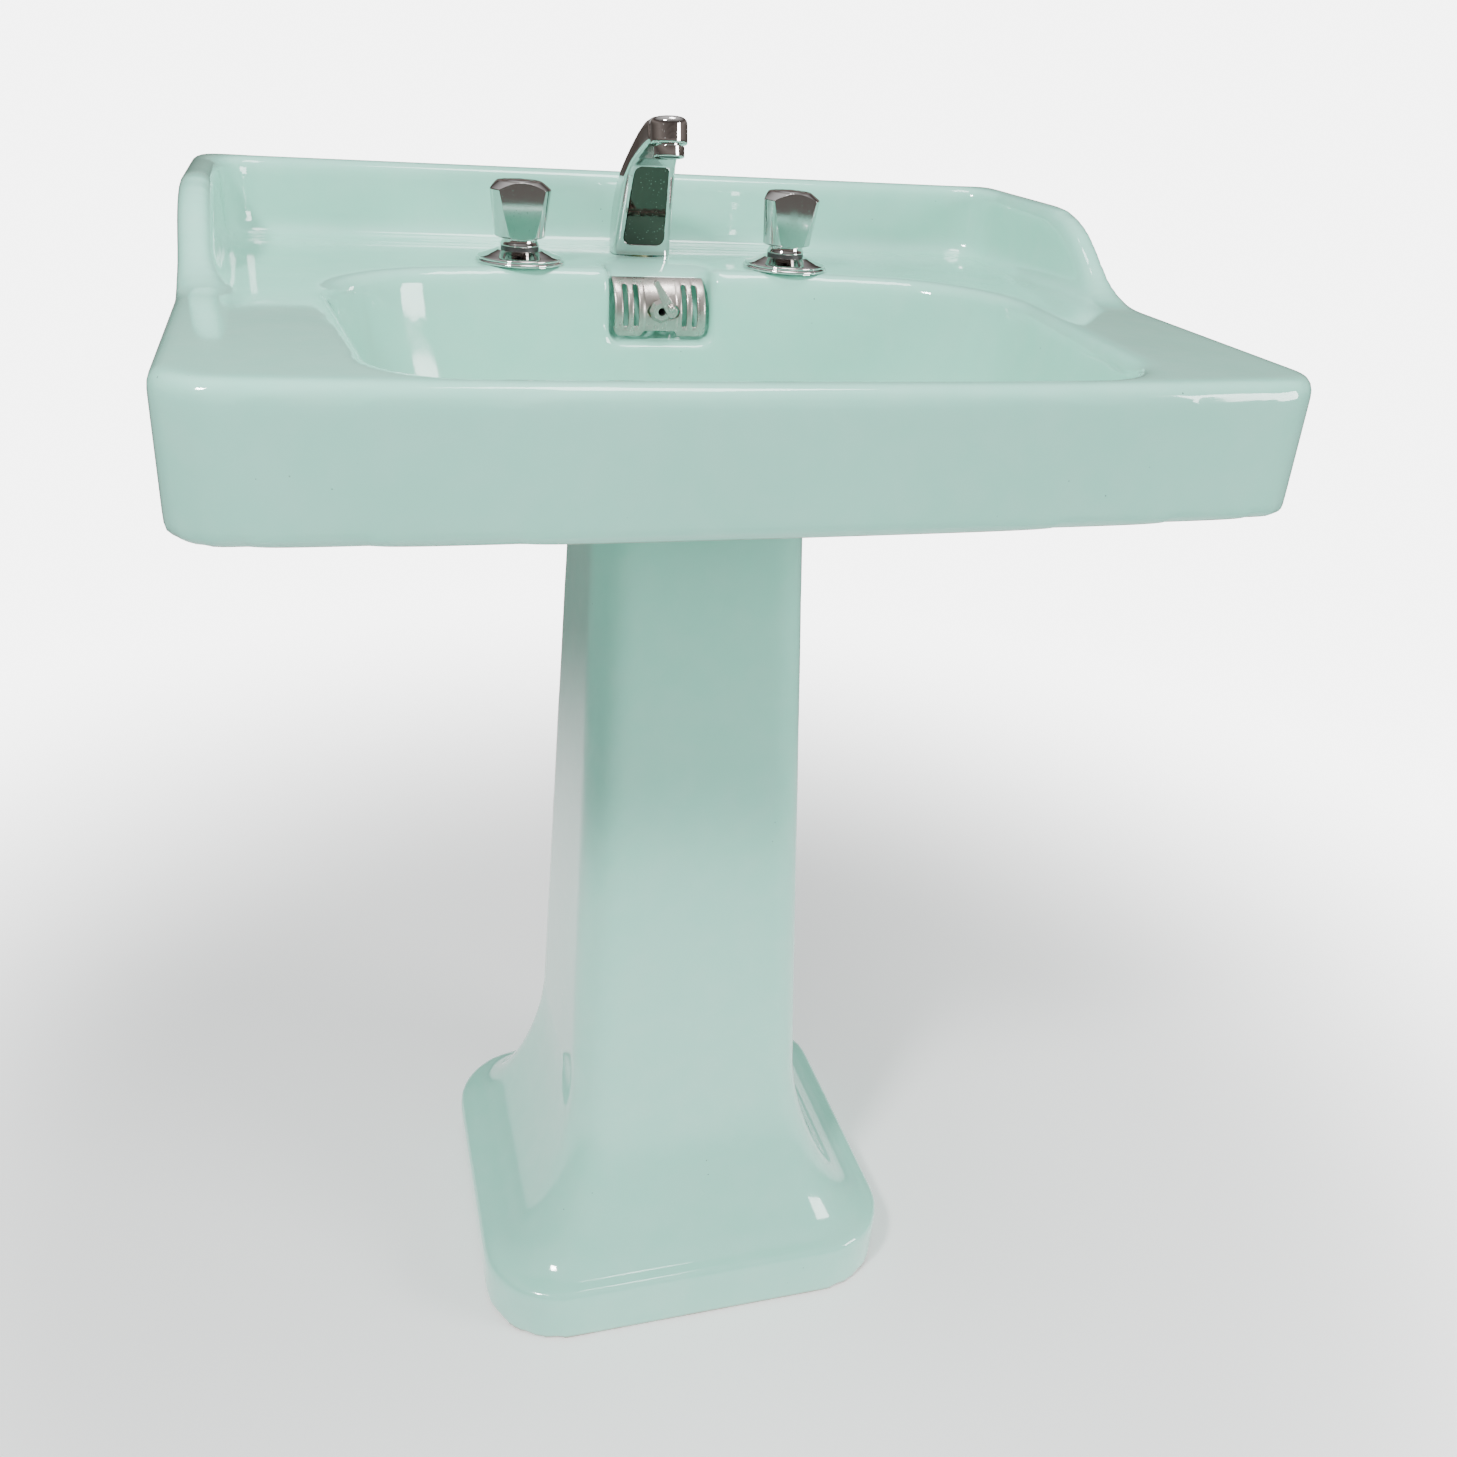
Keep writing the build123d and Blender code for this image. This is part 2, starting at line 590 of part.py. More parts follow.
save(overflow_plate, "overflow_plate")

with BuildPart() as lever_boss:
    # A faceted ring that screws into the overflow neck and clamps the plate.
    with BuildSketch(Plane.XZ.offset(-BOSS_Y)):
        with Locations((0, LEVER_Z)):
            RegularPolygon(9.5, 8)
    with BuildSketch(Plane.XZ.offset(-BOSS_Y + 3.5)):
        with Locations((0, LEVER_Z)):
            RegularPolygon(7, 8)
    loft()
    with BuildSketch(Plane.XZ.offset(-BOSS_Y)):
        with Locations((0, LEVER_Z)):
            Circle(SOCKET - 0.3)
    extrude(amount=-20)
    with BuildSketch(Plane.XZ.offset(-105)):
        with Locations((0, LEVER_Z)):
            Circle(AXLE + FIT)
    extrude(amount=-40, mode=Mode.SUBTRACT)
save(lever_boss, "lever_boss")

with BuildPart() as waste_lever:
    crank_x = CRANK * cos(radians(CRANK_ANGLE))
    crank_z = LEVER_Z + CRANK * sin(radians(CRANK_ANGLE))
    with BuildSketch(Plane.XZ.offset(-153)):
        with Locations((0, LEVER_Z)):
            Circle(AXLE)
    extrude(amount=153 - BLADE_Y)
    # Blade in front of the boss, tilted a little to the left, with a round tip.
    with BuildSketch(Plane.XZ.offset(-BLADE_Y - 3)):
        with Locations(Location((0, LEVER_Z, 0), 15)):
            with Locations((0, -3)):
                Circle(4.5)
            Trapezoid(9, 22, 84, align=(Align.CENTER, Align.MIN))
            with Locations((0, 22)):
                Circle(2.5)
    extrude(amount=3)
    # Crank and pin behind the wall.
    with BuildSketch(Plane.XZ.offset(-153)):
        with Locations((0, LEVER_Z), (crank_x, crank_z)):
            Circle(3.4)
        with Locations(Location((crank_x / 2, (LEVER_Z + crank_z) / 2, 0), CRANK_ANGLE)):
            Rectangle(CRANK, 6.8)
    extrude(amount=3)
    with BuildSketch(Plane.XZ.offset(-164)):
        with Locations((crank_x, crank_z)):
            Circle(1.5)
    extrude(amount=11)
save(waste_lever, "waste_lever")

with BuildPart() as overflow_elbow:
    with BuildSketch(Plane.XZ.offset(-176)):
        with Locations((0, LEVER_Z)):
            Circle(14.5)
    extrude(amount=176 - HOUSING_FRONT_Y)
    with BuildSketch(Plane.XZ.offset(-HOUSING_FRONT_Y)):
        with Locations((0, LEVER_Z)):
            Circle(11.5)
    extrude(amount=HOUSING_FRONT_Y - 132)
    with BuildSketch(Plane((0, OVERFLOW_Y, 762))):
        Circle(14.5)
    extrude(amount=LEVER_Z - 762)
    with BuildSketch(Plane.XZ.offset(-174)):
        with Locations((0, LEVER_Z)):
            Circle(12.5)
    extrude(amount=174 - HOUSING_FRONT_Y - 2, mode=Mode.SUBTRACT)
    with BuildSketch(Plane.XZ.offset(-HOUSING_FRONT_Y - 3)):
        with Locations((0, LEVER_Z)):
            Circle(SOCKET)
    extrude(amount=20, mode=Mode.SUBTRACT)
    with BuildSketch(Plane((0, OVERFLOW_Y, 761))):
        Circle(TUBE + FIT)
    extrude(amount=LEVER_Z - 761, mode=Mode.SUBTRACT)
save(overflow_elbow, "overflow_elbow")

with BuildPart() as overflow_tube:
    with BuildSketch(Plane((0, OVERFLOW_Y, WASTE_ARM_Z - TUBE))):
        Circle(TUBE)
    extrude(amount=772 - WASTE_ARM_Z + TUBE)
    with BuildSketch(Plane.XZ.offset(-OVERFLOW_Y)):
        with Locations((0, WASTE_ARM_Z)):
            Circle(TUBE)
    extrude(amount=OVERFLOW_Y - 16)
    with BuildSketch(Plane((0, OVERFLOW_Y, WASTE_ARM_Z - TUBE + 2))):
        Circle(TUBE_BORE)
    extrude(amount=160, mode=Mode.SUBTRACT)
    with BuildSketch(Plane.XZ.offset(-OVERFLOW_Y)):
        with Locations((0, WASTE_ARM_Z)):
            Circle(TUBE_BORE)
    extrude(amount=OVERFLOW_Y, mode=Mode.SUBTRACT)
    with BuildSketch(Plane.YZ.offset(-20)):
        with Locations((ROCKER_Y, WASTE_ARM_Z)):
            Circle(1.5 + FIT)
    extrude(amount=40, mode=Mode.SUBTRACT)
save(overflow_tube, "overflow_tube")

with BuildPart() as rocker_pin:
    with BuildSketch(Plane.YZ.offset(-TUBE - 1)):
        with Locations((ROCKER_Y, WASTE_ARM_Z)):
            Circle(1.5)
    extrude(amount=2 * TUBE + 2)
save(rocker_pin, "rocker_pin")

ROCKER_OUTER = OVERFLOW_Y - ROCKER_Y
ROCKER_INNER = ROCKER_Y - DRAIN_Y
LEVER_DROP = CRANK * sin(radians(CRANK_ANGLE))
rocker_angle = degrees(asin(LEVER_DROP / ROCKER_OUTER))
rocker_plane = Plane((0, ROCKER_Y, WASTE_ARM_Z), x_dir=(1, 0, 0), z_dir=(0, -1, 0)).rotated((rocker_angle, 0, 0))

with BuildPart() as rocker:
    with BuildSketch(rocker_plane.offset(ROCKER_INNER + 2)):
        Circle(2)
    extrude(amount=-ROCKER_INNER - ROCKER_OUTER - 6)
    with BuildSketch(Plane.YZ.offset(-5)):
        with Locations((ROCKER_Y, WASTE_ARM_Z)):
            Circle(4)
    extrude(amount=10)
    with BuildSketch(Plane.YZ.offset(-20)):
        with Locations((ROCKER_Y, WASTE_ARM_Z)):
            Circle(1.5 + FIT)
    extrude(amount=40, mode=Mode.SUBTRACT)
save(rocker, "rocker")

with BuildPart() as pull_rod:
    rod_eye_z = WASTE_ARM_Z + LEVER_DROP
    with BuildSketch(Plane((0, OVERFLOW_Y, rod_eye_z + 3.5))):
        Circle(1.5)
    extrude(amount=crank_z - rod_eye_z - 3.5)
    with BuildSketch(Plane.XZ.offset(-OVERFLOW_Y + 1.5)):
        with Locations((0, rod_eye_z)):
            Circle(4.6)
            Circle(2.6, mode=Mode.SUBTRACT)
    extrude(amount=-3)
    with BuildSketch(Plane.XZ.offset(-OVERFLOW_Y + 1.5)):
        with Locations((4.2, crank_z)):
            SlotOverall(11.4, 6.4)
    extrude(amount=-3)
    with BuildSketch(Plane.XZ.offset(-OVERFLOW_Y + 3)):
        with Locations((5.6, crank_z)):
            SlotOverall(5.2, 3.7)
    extrude(amount=-6, mode=Mode.SUBTRACT)
save(pull_rod, "pull_rod")


# ---------------------------------------------------------------- waste
with BuildPart() as waste_flange:
    turn(0, DRAIN_Y, (18.8, 652), (21, 652), (21, 680.4), (23.4, 681.4), (33, 684), (33, 684.6), (31.5, 685),
         (25, 685), (22, 683), (18.8, 677))
    # Spider that guides the plug's stem.
    with BuildSketch(Plane((0, DRAIN_Y, 658))):
        Circle(6)
        for spoke in (0, 60, 120):
            Rectangle(38, 2.4, rotation=spoke)
        Circle(STEM + FIT, mode=Mode.SUBTRACT)
    extrude(amount=4)
save(waste_flange, "waste_flange")

with BuildPart() as waste_plug:
    turn(0, DRAIN_Y, (0, 639.2), (STEM, 639.2), (STEM, 674), (15, 680.4), (15, 682.8), (20, 682.8),
         (20.6, 684), (20, 685.6), (16, 687.2), (8, 688.2), (0, 688.5))
save(waste_plug, "waste_plug")

with BuildPart() as plug_seal:
    ring(0, DRAIN_Y, 20, 15.05, 680.9, 682.75)
save(plug_seal, "plug_seal")

with BuildPart() as waste_gasket:
    ring(0, DRAIN_Y, 32, 21.05, 669, 672)
save(waste_gasket, "waste_gasket")

with BuildPart() as waste_locknut:
    hex_nut(0, DRAIN_Y, 58, 21.05, 658, 669)
save(waste_locknut, "waste_locknut")

with BuildPart() as waste_tee:
    turn(0, DRAIN_Y, (21.05, 657), (25, 657), (25, 617), (16, 611), (16, 532), (14.5, 532), (14.5, 612.5),
         (21.05, 621))
    with BuildSketch(Plane.XZ.offset(-42)):
        with Locations((0, WASTE_ARM_Z)):
            Circle(15.2)
    extrude(amount=42 - 13)
    with BuildSketch(Plane.XZ.offset(-43)):
        with Locations((0, WASTE_ARM_Z)):
            Circle(TUBE + FIT)
    extrude(amount=43 - 16, mode=Mode.SUBTRACT)
    with BuildSketch(Plane.XZ.offset(-30)):
        with Locations((0, WASTE_ARM_Z)):
            Circle(TUBE_BORE)
    extrude(amount=35, mode=Mode.SUBTRACT)
save(waste_tee, "waste_tee")

with BuildPart() as trap_body:
    turn(0, DRAIN_Y, (16.05, 590), (22, 590), (22, 582), (30, 578), (30, 505), (27.5, 505), (27.5, 576),
         (20, 580), (16.05, 580))
    with BuildSketch(Plane.XZ.offset(-30)):
        with Locations((0, TRAP_OUTLET_Z)):
            Circle(18.5)
    extrude(amount=18)
    with BuildSketch(Plane.XZ.offset(-31)):
        with Locations((0, TRAP_OUTLET_Z)):
            Circle(16.05)
    extrude(amount=18, mode=Mode.SUBTRACT)
save(trap_body, "trap_body")

with BuildPart() as trap_cup:
    turn(0, DRAIN_Y, (0, 478), (26, 478), (32.5, 485), (32.5, 518), (30.05, 518), (30.05, 504.9),
         (27, 504.9), (27, 489), (22, 482), (0, 482))
save(trap_cup, "trap_cup")

with BuildPart() as trap_nuts:
    ring(0, DRAIN_Y, 24, 16.05, 590, 602)
    with BuildSketch(Plane.XZ.offset(-42)):
        with Locations((0, TRAP_OUTLET_Z)):
            Circle(24)
            Circle(16.05, mode=Mode.SUBTRACT)
    extrude(amount=12)
save(trap_nuts, "trap_nuts")

with BuildPart() as trap_outlet:
    with BuildSketch(Plane.XZ.offset(-BACK_Y)):
        with Locations((0, TRAP_OUTLET_Z)):
            Circle(16)
            Circle(14.5, mode=Mode.SUBTRACT)
    extrude(amount=BACK_Y - 20)
save(trap_outlet, "trap_outlet")

with BuildPart() as wall_flange:
    with BuildSketch(Plane.XZ.offset(-BACK_Y)):
        with Locations((0, TRAP_OUTLET_Z)):
            Circle(34)
    extrude(amount=3)
    with BuildSketch(Plane.XZ.offset(-BACK_Y + 3)):
        with Locations((0, TRAP_OUTLET_Z)):
            Circle(30)
    extrude(amount=7, taper=45)
    with BuildSketch(Plane.XZ.offset(-BACK_Y)):
        with Locations((0, TRAP_OUTLET_Z)):
            Circle(16.05)
    extrude(amount=20, mode=Mode.SUBTRACT)
save(wall_flange, "wall_flange")
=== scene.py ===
"""Green glazed pedestal sink with chrome taps, as a panel of modelling and finishing tools.

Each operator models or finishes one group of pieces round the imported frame. Metres.
"""
import json
import math

import bmesh
import bpy
from mathutils import Matrix, Vector


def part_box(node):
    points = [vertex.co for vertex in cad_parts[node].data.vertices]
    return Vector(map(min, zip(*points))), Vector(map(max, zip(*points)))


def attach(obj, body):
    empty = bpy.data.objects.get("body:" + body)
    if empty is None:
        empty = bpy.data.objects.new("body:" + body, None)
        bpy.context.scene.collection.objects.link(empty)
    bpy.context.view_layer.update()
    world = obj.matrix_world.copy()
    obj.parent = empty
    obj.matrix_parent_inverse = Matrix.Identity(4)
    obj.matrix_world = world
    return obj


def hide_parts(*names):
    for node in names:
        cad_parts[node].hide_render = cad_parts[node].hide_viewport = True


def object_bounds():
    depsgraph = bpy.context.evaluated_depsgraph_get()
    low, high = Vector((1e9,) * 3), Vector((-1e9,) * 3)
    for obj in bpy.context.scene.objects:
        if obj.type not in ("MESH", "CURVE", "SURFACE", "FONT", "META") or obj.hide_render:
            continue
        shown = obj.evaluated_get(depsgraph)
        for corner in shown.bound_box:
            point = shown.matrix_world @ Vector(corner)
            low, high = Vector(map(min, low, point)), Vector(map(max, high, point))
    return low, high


bl_info = {
    "name": "Pedestal sink",
    "version": (1, 0, 0),
    "blender": (4, 5, 0),
    "location": "View3D > Sidebar > Sink",
    "description": "Models and finishes a glazed pedestal sink with its taps, spout and waste",
    "category": "Add Mesh",
}

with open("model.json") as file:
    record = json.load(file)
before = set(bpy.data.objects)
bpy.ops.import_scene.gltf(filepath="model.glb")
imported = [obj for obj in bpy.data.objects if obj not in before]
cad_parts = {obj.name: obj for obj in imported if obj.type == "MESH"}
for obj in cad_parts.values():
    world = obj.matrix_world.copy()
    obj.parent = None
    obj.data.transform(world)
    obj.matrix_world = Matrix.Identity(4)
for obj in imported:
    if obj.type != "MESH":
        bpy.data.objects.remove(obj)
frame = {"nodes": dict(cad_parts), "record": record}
CAD_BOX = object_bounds()
NODES = frame["nodes"]
BODIES = frame["record"]["behaviour"]["bodies"]
BODY_OF = {node: body for body, nodes in BODIES.items() for node in nodes}
MM = 0.001
SIDES = ("hot", "cold")


# ------------------------------------------------------------------ shader maths
class Value:
    """A shader socket that can be used in a sum."""

    def __init__(self, nodes, socket):
        self.nodes = nodes
        self.socket = socket

    def maths(self, operation, *others):
        values = dict(enumerate((self, *others)))
        return self.nodes.node("ShaderNodeMath", {"operation": operation}, values)

    def __add__(self, other):
        return self.maths("ADD", other)

    __radd__ = __add__

    def __mul__(self, other):
        return self.maths("MULTIPLY", other)

    __rmul__ = __mul__

    def __sub__(self, other):
        return self.maths("SUBTRACT", other)

    def __rsub__(self, other):
        return (self * -1) + other

    def power(self, other):
        return self.maths("POWER", other)

    def over(self, low, high):
        """0 below low, 1 above high, and smooth between them."""
        settings = {"interpolation_type": "SMOOTHSTEP"}
        return self.nodes.node("ShaderNodeMapRange", settings,
                               {"Value": self, "From Min": low, "From Max": high})


class Nodes:
    """A node tree that nodes are added to."""

    def __init__(self, tree):
        self.tree = tree

    def connect(self, socket, value):
        if isinstance(value, Value):
            self.tree.links.new(value.socket, socket)
        else:
            socket.default_value = value

    def node(self, kind, settings=None, inputs=None, output=0):
        """Add a node, with its settings made before its sockets are filled."""
        node = self.tree.nodes.new(kind)
        for name, value in (settings or {}).items():
            if name == "stops":
                ramp = node.color_ramp.elements
                while len(ramp) < len(value):
                    ramp.new(1.0)
                for stop, (position, colour) in zip(ramp, value):
                    stop.position = position
                    stop.color = (*colour, 1.0)
            else:
                setattr(node, name, value)
        for name, value in (inputs or {}).items():
            self.connect(node.inputs[name], value)
        return Value(self, node.outputs[output])


class Finish(Nodes):
    """A material under construction: a Principled shader and the nodes that feed it."""

    def __init__(self, name, **constants):
        self.material = bpy.data.materials.new(name)
        self.material.use_nodes = True
        super().__init__(self.material.node_tree)
        self.shader = self.tree.nodes["Principled BSDF"]
        self.set(**constants)

    def set(self, **inputs):
        """Set the shader's sockets, each named in lower case with underscores."""
        names = {socket.name.lower().replace(" ", "_"): socket for socket in self.shader.inputs}
        for name, value in inputs.items():
            self.connect(names[name], value)

    def place(self):
        """Object coordinates."""
        return self.node("ShaderNodeTexCoord", output="Object")

    def axis(self, index):
        """One object coordinate as a number, in metres."""
        return self.node("ShaderNodeSeparateXYZ", inputs={"Vector": self.place()}, output=index)

    def noise(self, scale, detail=2.0, roughness=0.5, stretch=None):
        vector = self.place()
        if stretch:
            vector = self.node("ShaderNodeMapping", inputs={"Vector": vector, "Scale": stretch})
        return self.node("ShaderNodeTexNoise", inputs={
            "Vector": vector, "Scale": scale, "Detail": detail, "Roughness": roughness})

    def cells(self, scale):
        """Distance to the nearest of many scattered points."""
        return self.node("ShaderNodeTexVoronoi", inputs={"Vector": self.place(), "Scale": scale})

    def mix(self, factor, first, second):
        """Colour that goes from first to second."""
        colours = {6: first, 7: second}
        colours = {key: value if isinstance(value, Value) else (*value[:3], 1.0)
                   for key, value in colours.items()}
        return self.node("ShaderNodeMix", {"data_type": "RGBA"}, {0: factor, **colours}, output=2)

    def bump(self, height, distance, strength=1.0, normal=None):
        inputs = {"Height": height, "Distance": distance, "Strength": strength}
        if normal is not None:
            inputs["Normal"] = normal
        return self.node("ShaderNodeBump", inputs=inputs)


def shade(colour, amount):
    """A colour made lighter or darker."""
    return tuple(channel * amount for channel in colour[:3])


# ------------------------------------------------------------------ finishes
def glaze(name, sink, edges):
    """Glossy pale green glaze with pinholes, soft ripple and bare clay along some edges."""
    finish = Finish(name, coat_weight=0.6, coat_roughness=0.03, ior=1.52, coat_ior=1.5)
    colour = tuple(sink.glaze_colour)
    drift = finish.noise(4.0, 2.0).over(0.35, 0.65)
    mottle = finish.noise(45.0, 4.0).over(0.3, 0.75)
    thick = finish.mix(drift * 0.55, shade(colour, 1.03), shade(colour, 0.95))
    thick = finish.mix(mottle * 0.10, thick, (0.62, 0.80, 0.72))
    # Pinholes: a few small dark pits where scattered points and a slow noise agree.
    pits = (1 - finish.cells(95.0).over(0.035, 0.06)) * finish.noise(13.0, 1.0).over(0.62, 0.66)
    thick = finish.mix(pits * 0.8, thick, (0.05, 0.06, 0.05))
    # Bare clay shows as a thin brown line where the glaze was wiped off.
    ragged = finish.noise(60.0, 3.0).over(0.25, 0.6)
    bare = edges(finish) * (ragged * 0.45 + 0.55)
    thick = finish.mix(bare * 0.85, thick, tuple(sink.clay_colour))
    film = finish.noise(9.0, 5.0, 0.65).over(0.45, 0.75)
    finish.set(base_color=thick,
               roughness=film * 0.07 + bare * 0.45 + pits * 0.3 + sink.glaze_roughness)
    ripple = finish.bump(finish.noise(14.0, 1.0), 0.0012, 0.35)
    peel = finish.bump(finish.noise(240.0, 2.0), 0.00012, 0.30, ripple)
    finish.set(normal=finish.bump(pits * -1, 0.0004, 0.8, peel))
    return finish.material


def basin_edges(finish):
    """A thin line level with the apron's foot, and the back of the splashback's top."""
    height = finish.axis(2)
    foot = (1 - height.over(0.7316, 0.7336)) * height.over(0.7285, 0.7300)
    top = height.over(0.8748, 0.8768) * finish.axis(1).over(0.2600, 0.2625)
    return foot + top


def pedestal_edges(finish):
    """The line on the floor, and the cut edges of the open back."""
    low = 1 - finish.axis(2).over(0.0015, 0.0045)
    width = finish.axis(0).maths("ABSOLUTE")
    slot = (1 - width.over(0.0602, 0.0618)) * finish.axis(1).over(0.060, 0.066)
    return (low + slot).maths("MINIMUM", 1.0)


def chrome(name, colour, roughness, haze=0.06):
    """Polished plate with fine wipe marks and a few dull water spots."""
    finish = Finish(name, metallic=1.0)
    smear = finish.noise(70.0, 5.0, 0.6, stretch=(1.0, 1.0, 0.35)).over(0.45, 0.8)
    spots = 1 - finish.cells(420.0).over(0.10, 0.22)
    spots = spots * finish.noise(55.0, 1.0).over(0.52, 0.6)
    tone = finish.mix(smear * 0.35, colour, shade(colour, 0.86))
    finish.set(base_color=finish.mix(spots * 0.4, tone, (0.55, 0.55, 0.52)),
               roughness=smear * haze + spots * 0.18 + roughness)
    finish.set(normal=finish.bump(finish.noise(900.0, 2.0), 0.00002, 0.15))
    return finish.material


def worn_nickel(name, colour):
    """Soft grey plate, dulled by limescale, with darker grime in patches."""
    finish = Finish(name, metallic=0.9)
    grain = finish.noise(500.0, 3.0, 0.6, stretch=(1.0, 1.0, 0.2))
    stain = finish.noise(85.0, 5.0, 0.65).over(0.42, 0.72)
    tone = finish.mix(stain * 0.6, colour, shade(colour, 0.6))
    finish.set(base_color=tone, roughness=grain * 0.16 + stain * 0.14 + 0.20)
    finish.set(normal=finish.bump(stain * 0.6 + grain * 0.4, 0.00012, 0.6))
    return finish.material


def tarnished(name, colour, dark):
    """Brass or copper with darker tarnish in patches and fine turning lines."""
    finish = Finish(name, metallic=1.0)
    patch = finish.noise(38.0, 5.0, 0.6).over(0.4, 0.7)
    lines = finish.noise(30.0, 2.0, 0.5, stretch=(1.0, 1.0, 40.0))
    finish.set(base_color=finish.mix(patch, colour, dark), roughness=patch * 0.25 + lines * 0.12 + 0.16)
    finish.set(normal=finish.bump(lines, 0.00008, 0.5))
    return finish.material


def plain(name, colour, roughness, grain_scale, bump_distance):
    """Moulded rubber or plastic with a faint grain and dusty variation."""
    finish = Finish(name)
    dust = finish.noise(40.0, 4.0).over(0.4, 0.8)
    grain = finish.noise(grain_scale, 2.0)
    finish.set(base_color=finish.mix(dust * 0.5, colour, tuple(c * 1.6 + 0.01 for c in colour)),
               roughness=dust * 0.12 + grain * 0.08 + roughness,
               normal=finish.bump(grain, bump_distance, 0.5))
    return finish.material


def finishes():
    """The materials, made once and looked up by slot name."""
    sink = bpy.context.scene.sink
    if "chrome plate" not in bpy.data.materials:
        plate = tuple(sink.chrome_colour)
        chrome("chrome plate", plate, sink.chrome_roughness)
        chrome("chrome panel", tuple(sink.panel_colour), 0.03, 0.03)
        worn_nickel("worn nickel", tuple(sink.nickel_colour))
        tarnished("brass", (0.62, 0.46, 0.22), (0.30, 0.20, 0.09))
        tarnished("copper", (0.66, 0.36, 0.24), (0.28, 0.13, 0.08))
        tarnished("plain steel", (0.56, 0.56, 0.57), (0.33, 0.32, 0.31))
        plain("black rubber", (0.018, 0.018, 0.018), 0.42, 600.0, 0.00005)
        plain("grey plastic", (0.16, 0.17, 0.18), 0.35, 800.0, 0.00004)
    by_slot = {"chrome": "chrome plate", "mirror_panel": "chrome panel", "aged_nickel": "worn nickel",
               "brass": "brass", "copper": "copper", "steel": "plain steel",
               "black_rubber": "black rubber", "grey_plastic": "grey plastic"}
    return {slot: bpy.data.materials[name] for slot, name in by_slot.items()}


# ------------------------------------------------------------------ modelling
def deselect():
    bpy.ops.object.select_all(action="DESELECT")


def activate(obj):
    deselect()
    obj.select_set(True)
    bpy.context.view_layer.objects.active = obj


def edit(obj):
    activate(obj)
    bpy.ops.object.mode_set(mode="EDIT")
    return bmesh.from_edit_mesh(obj.data)


def leave():
    bpy.ops.object.mode_set(mode="OBJECT")


def apply(obj, kind, **settings):
    """Add a modifier and apply it."""
    activate(obj)
    modifier = obj.modifiers.new(kind.lower(), kind)
    for name, value in settings.items():
        setattr(modifier, name, value)
    bpy.ops.object.modifier_apply(modifier=modifier.name)


def settle(obj, angle=None):
    """Put the object at the origin with its place in its mesh, and shade it."""
    activate(obj)
    bpy.ops.object.transform_apply(location=True, rotation=True, scale=True)
    if angle is None:
        bpy.ops.object.shade_smooth()
    else:
        bpy.ops.object.shade_smooth_by_angle(angle=math.radians(angle))


def outward(obj):
    """Merge doubles and point every face outwards."""
    edit(obj)
    bpy.ops.mesh.select_all(action="SELECT")
    bpy.ops.mesh.remove_doubles(threshold=1e-6)
    bpy.ops.mesh.normals_make_consistent(inside=False)
    leave()


def add_piece(obj, body, slot, material, *replaced):
    """Give a finished piece its material and its body, and hide the nodes it stands for. The slot is
    not used.
    """
    obj.data.materials.clear()
    obj.data.materials.append(material)
    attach(obj, body)
    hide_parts(*replaced)


def copy_of(node, name):
    """A merged copy of a CAD node as a new object."""
    mesh = NODES[node].data.copy()
    mesh.name = name
    obj = bpy.data.objects.new(name, mesh)
    bpy.context.scene.collection.objects.link(obj)
    edit(obj)
    bpy.ops.mesh.select_all(action="SELECT")
    bpy.ops.mesh.remove_doubles(threshold=1e-5)
    leave()
    return obj


def soften(obj, voxel, passes):
    """Rebuild a shape as an even net and relax it, which rounds every edge as glaze or plate does."""
    apply(obj, "REMESH", mode="VOXEL", voxel_size=voxel, use_smooth_shade=True)
    apply(obj, "SMOOTH", factor=0.5, iterations=passes)


def relax_where(obj, test, passes):
    """Relax only the points that pass a test, with a soft border."""
    group = obj.vertex_groups.new(name="relax")
    for vertex in obj.data.vertices:
        weight = test(vertex.co)
        if weight > 0:
            group.add([vertex.index], min(weight, 1.0), "REPLACE")
    apply(obj, "SMOOTH", factor=0.5, iterations=passes, vertex_group=group.name)
    obj.vertex_groups.remove(obj.vertex_groups["relax"])


def arc(centre, radius, start, end, steps):
    """Points of an arc on a profile, angles in degrees."""
    angles = [math.radians(start + (end - start) * i / steps) for i in range(steps + 1)]
    return [(centre[0] + radius * math.cos(a), centre[1] + radius * math.sin(a)) for a in angles]


def turned(name, centre, profile, steps=72, closed=True):
    """Spin a profile of (radius, height), in millimetres, about the vertical through centre."""
    deselect()
    bpy.ops.mesh.primitive_plane_add(size=MM, location=(0, 0, 0))
    obj = bpy.context.object
    obj.name = obj.data.name = name
    mesh = edit(obj)
    mesh.verts.ensure_lookup_table()
    for vertex in mesh.verts[1:]:
        mesh.verts.remove(vertex)
    mesh.verts.ensure_lookup_table()
    mesh.verts[0].co = Vector((profile[0][0] * MM, 0, profile[0][1] * MM))
    mesh.verts[0].select = True
    bmesh.update_edit_mesh(obj.data)
    points = profile[1:] + ([profile[0]] if closed else [])
    before = profile[0]
    for radius, height in points:
        step = ((radius - before[0]) * MM, 0, (height - before[1]) * MM)
        bpy.ops.mesh.extrude_vertices_move(TRANSFORM_OT_translate={"value": step})
        before = (radius, height)
    bpy.ops.mesh.select_all(action="SELECT")
    bpy.ops.mesh.spin(steps=steps, angle=math.tau, center=(0, 0, 0), axis=(0, 0, 1))
    bpy.ops.mesh.select_all(action="SELECT")
    bpy.ops.mesh.remove_doubles(threshold=2e-6)
    bpy.ops.mesh.normals_make_consistent(inside=False)
    leave()
    obj.location = (centre[0], centre[1], 0)
    return obj


def axis_of(node):
    """The upright axis of a CAD node, as x and y."""
    low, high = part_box(node)
    return (low + high).x / 2, (low + high).y / 2


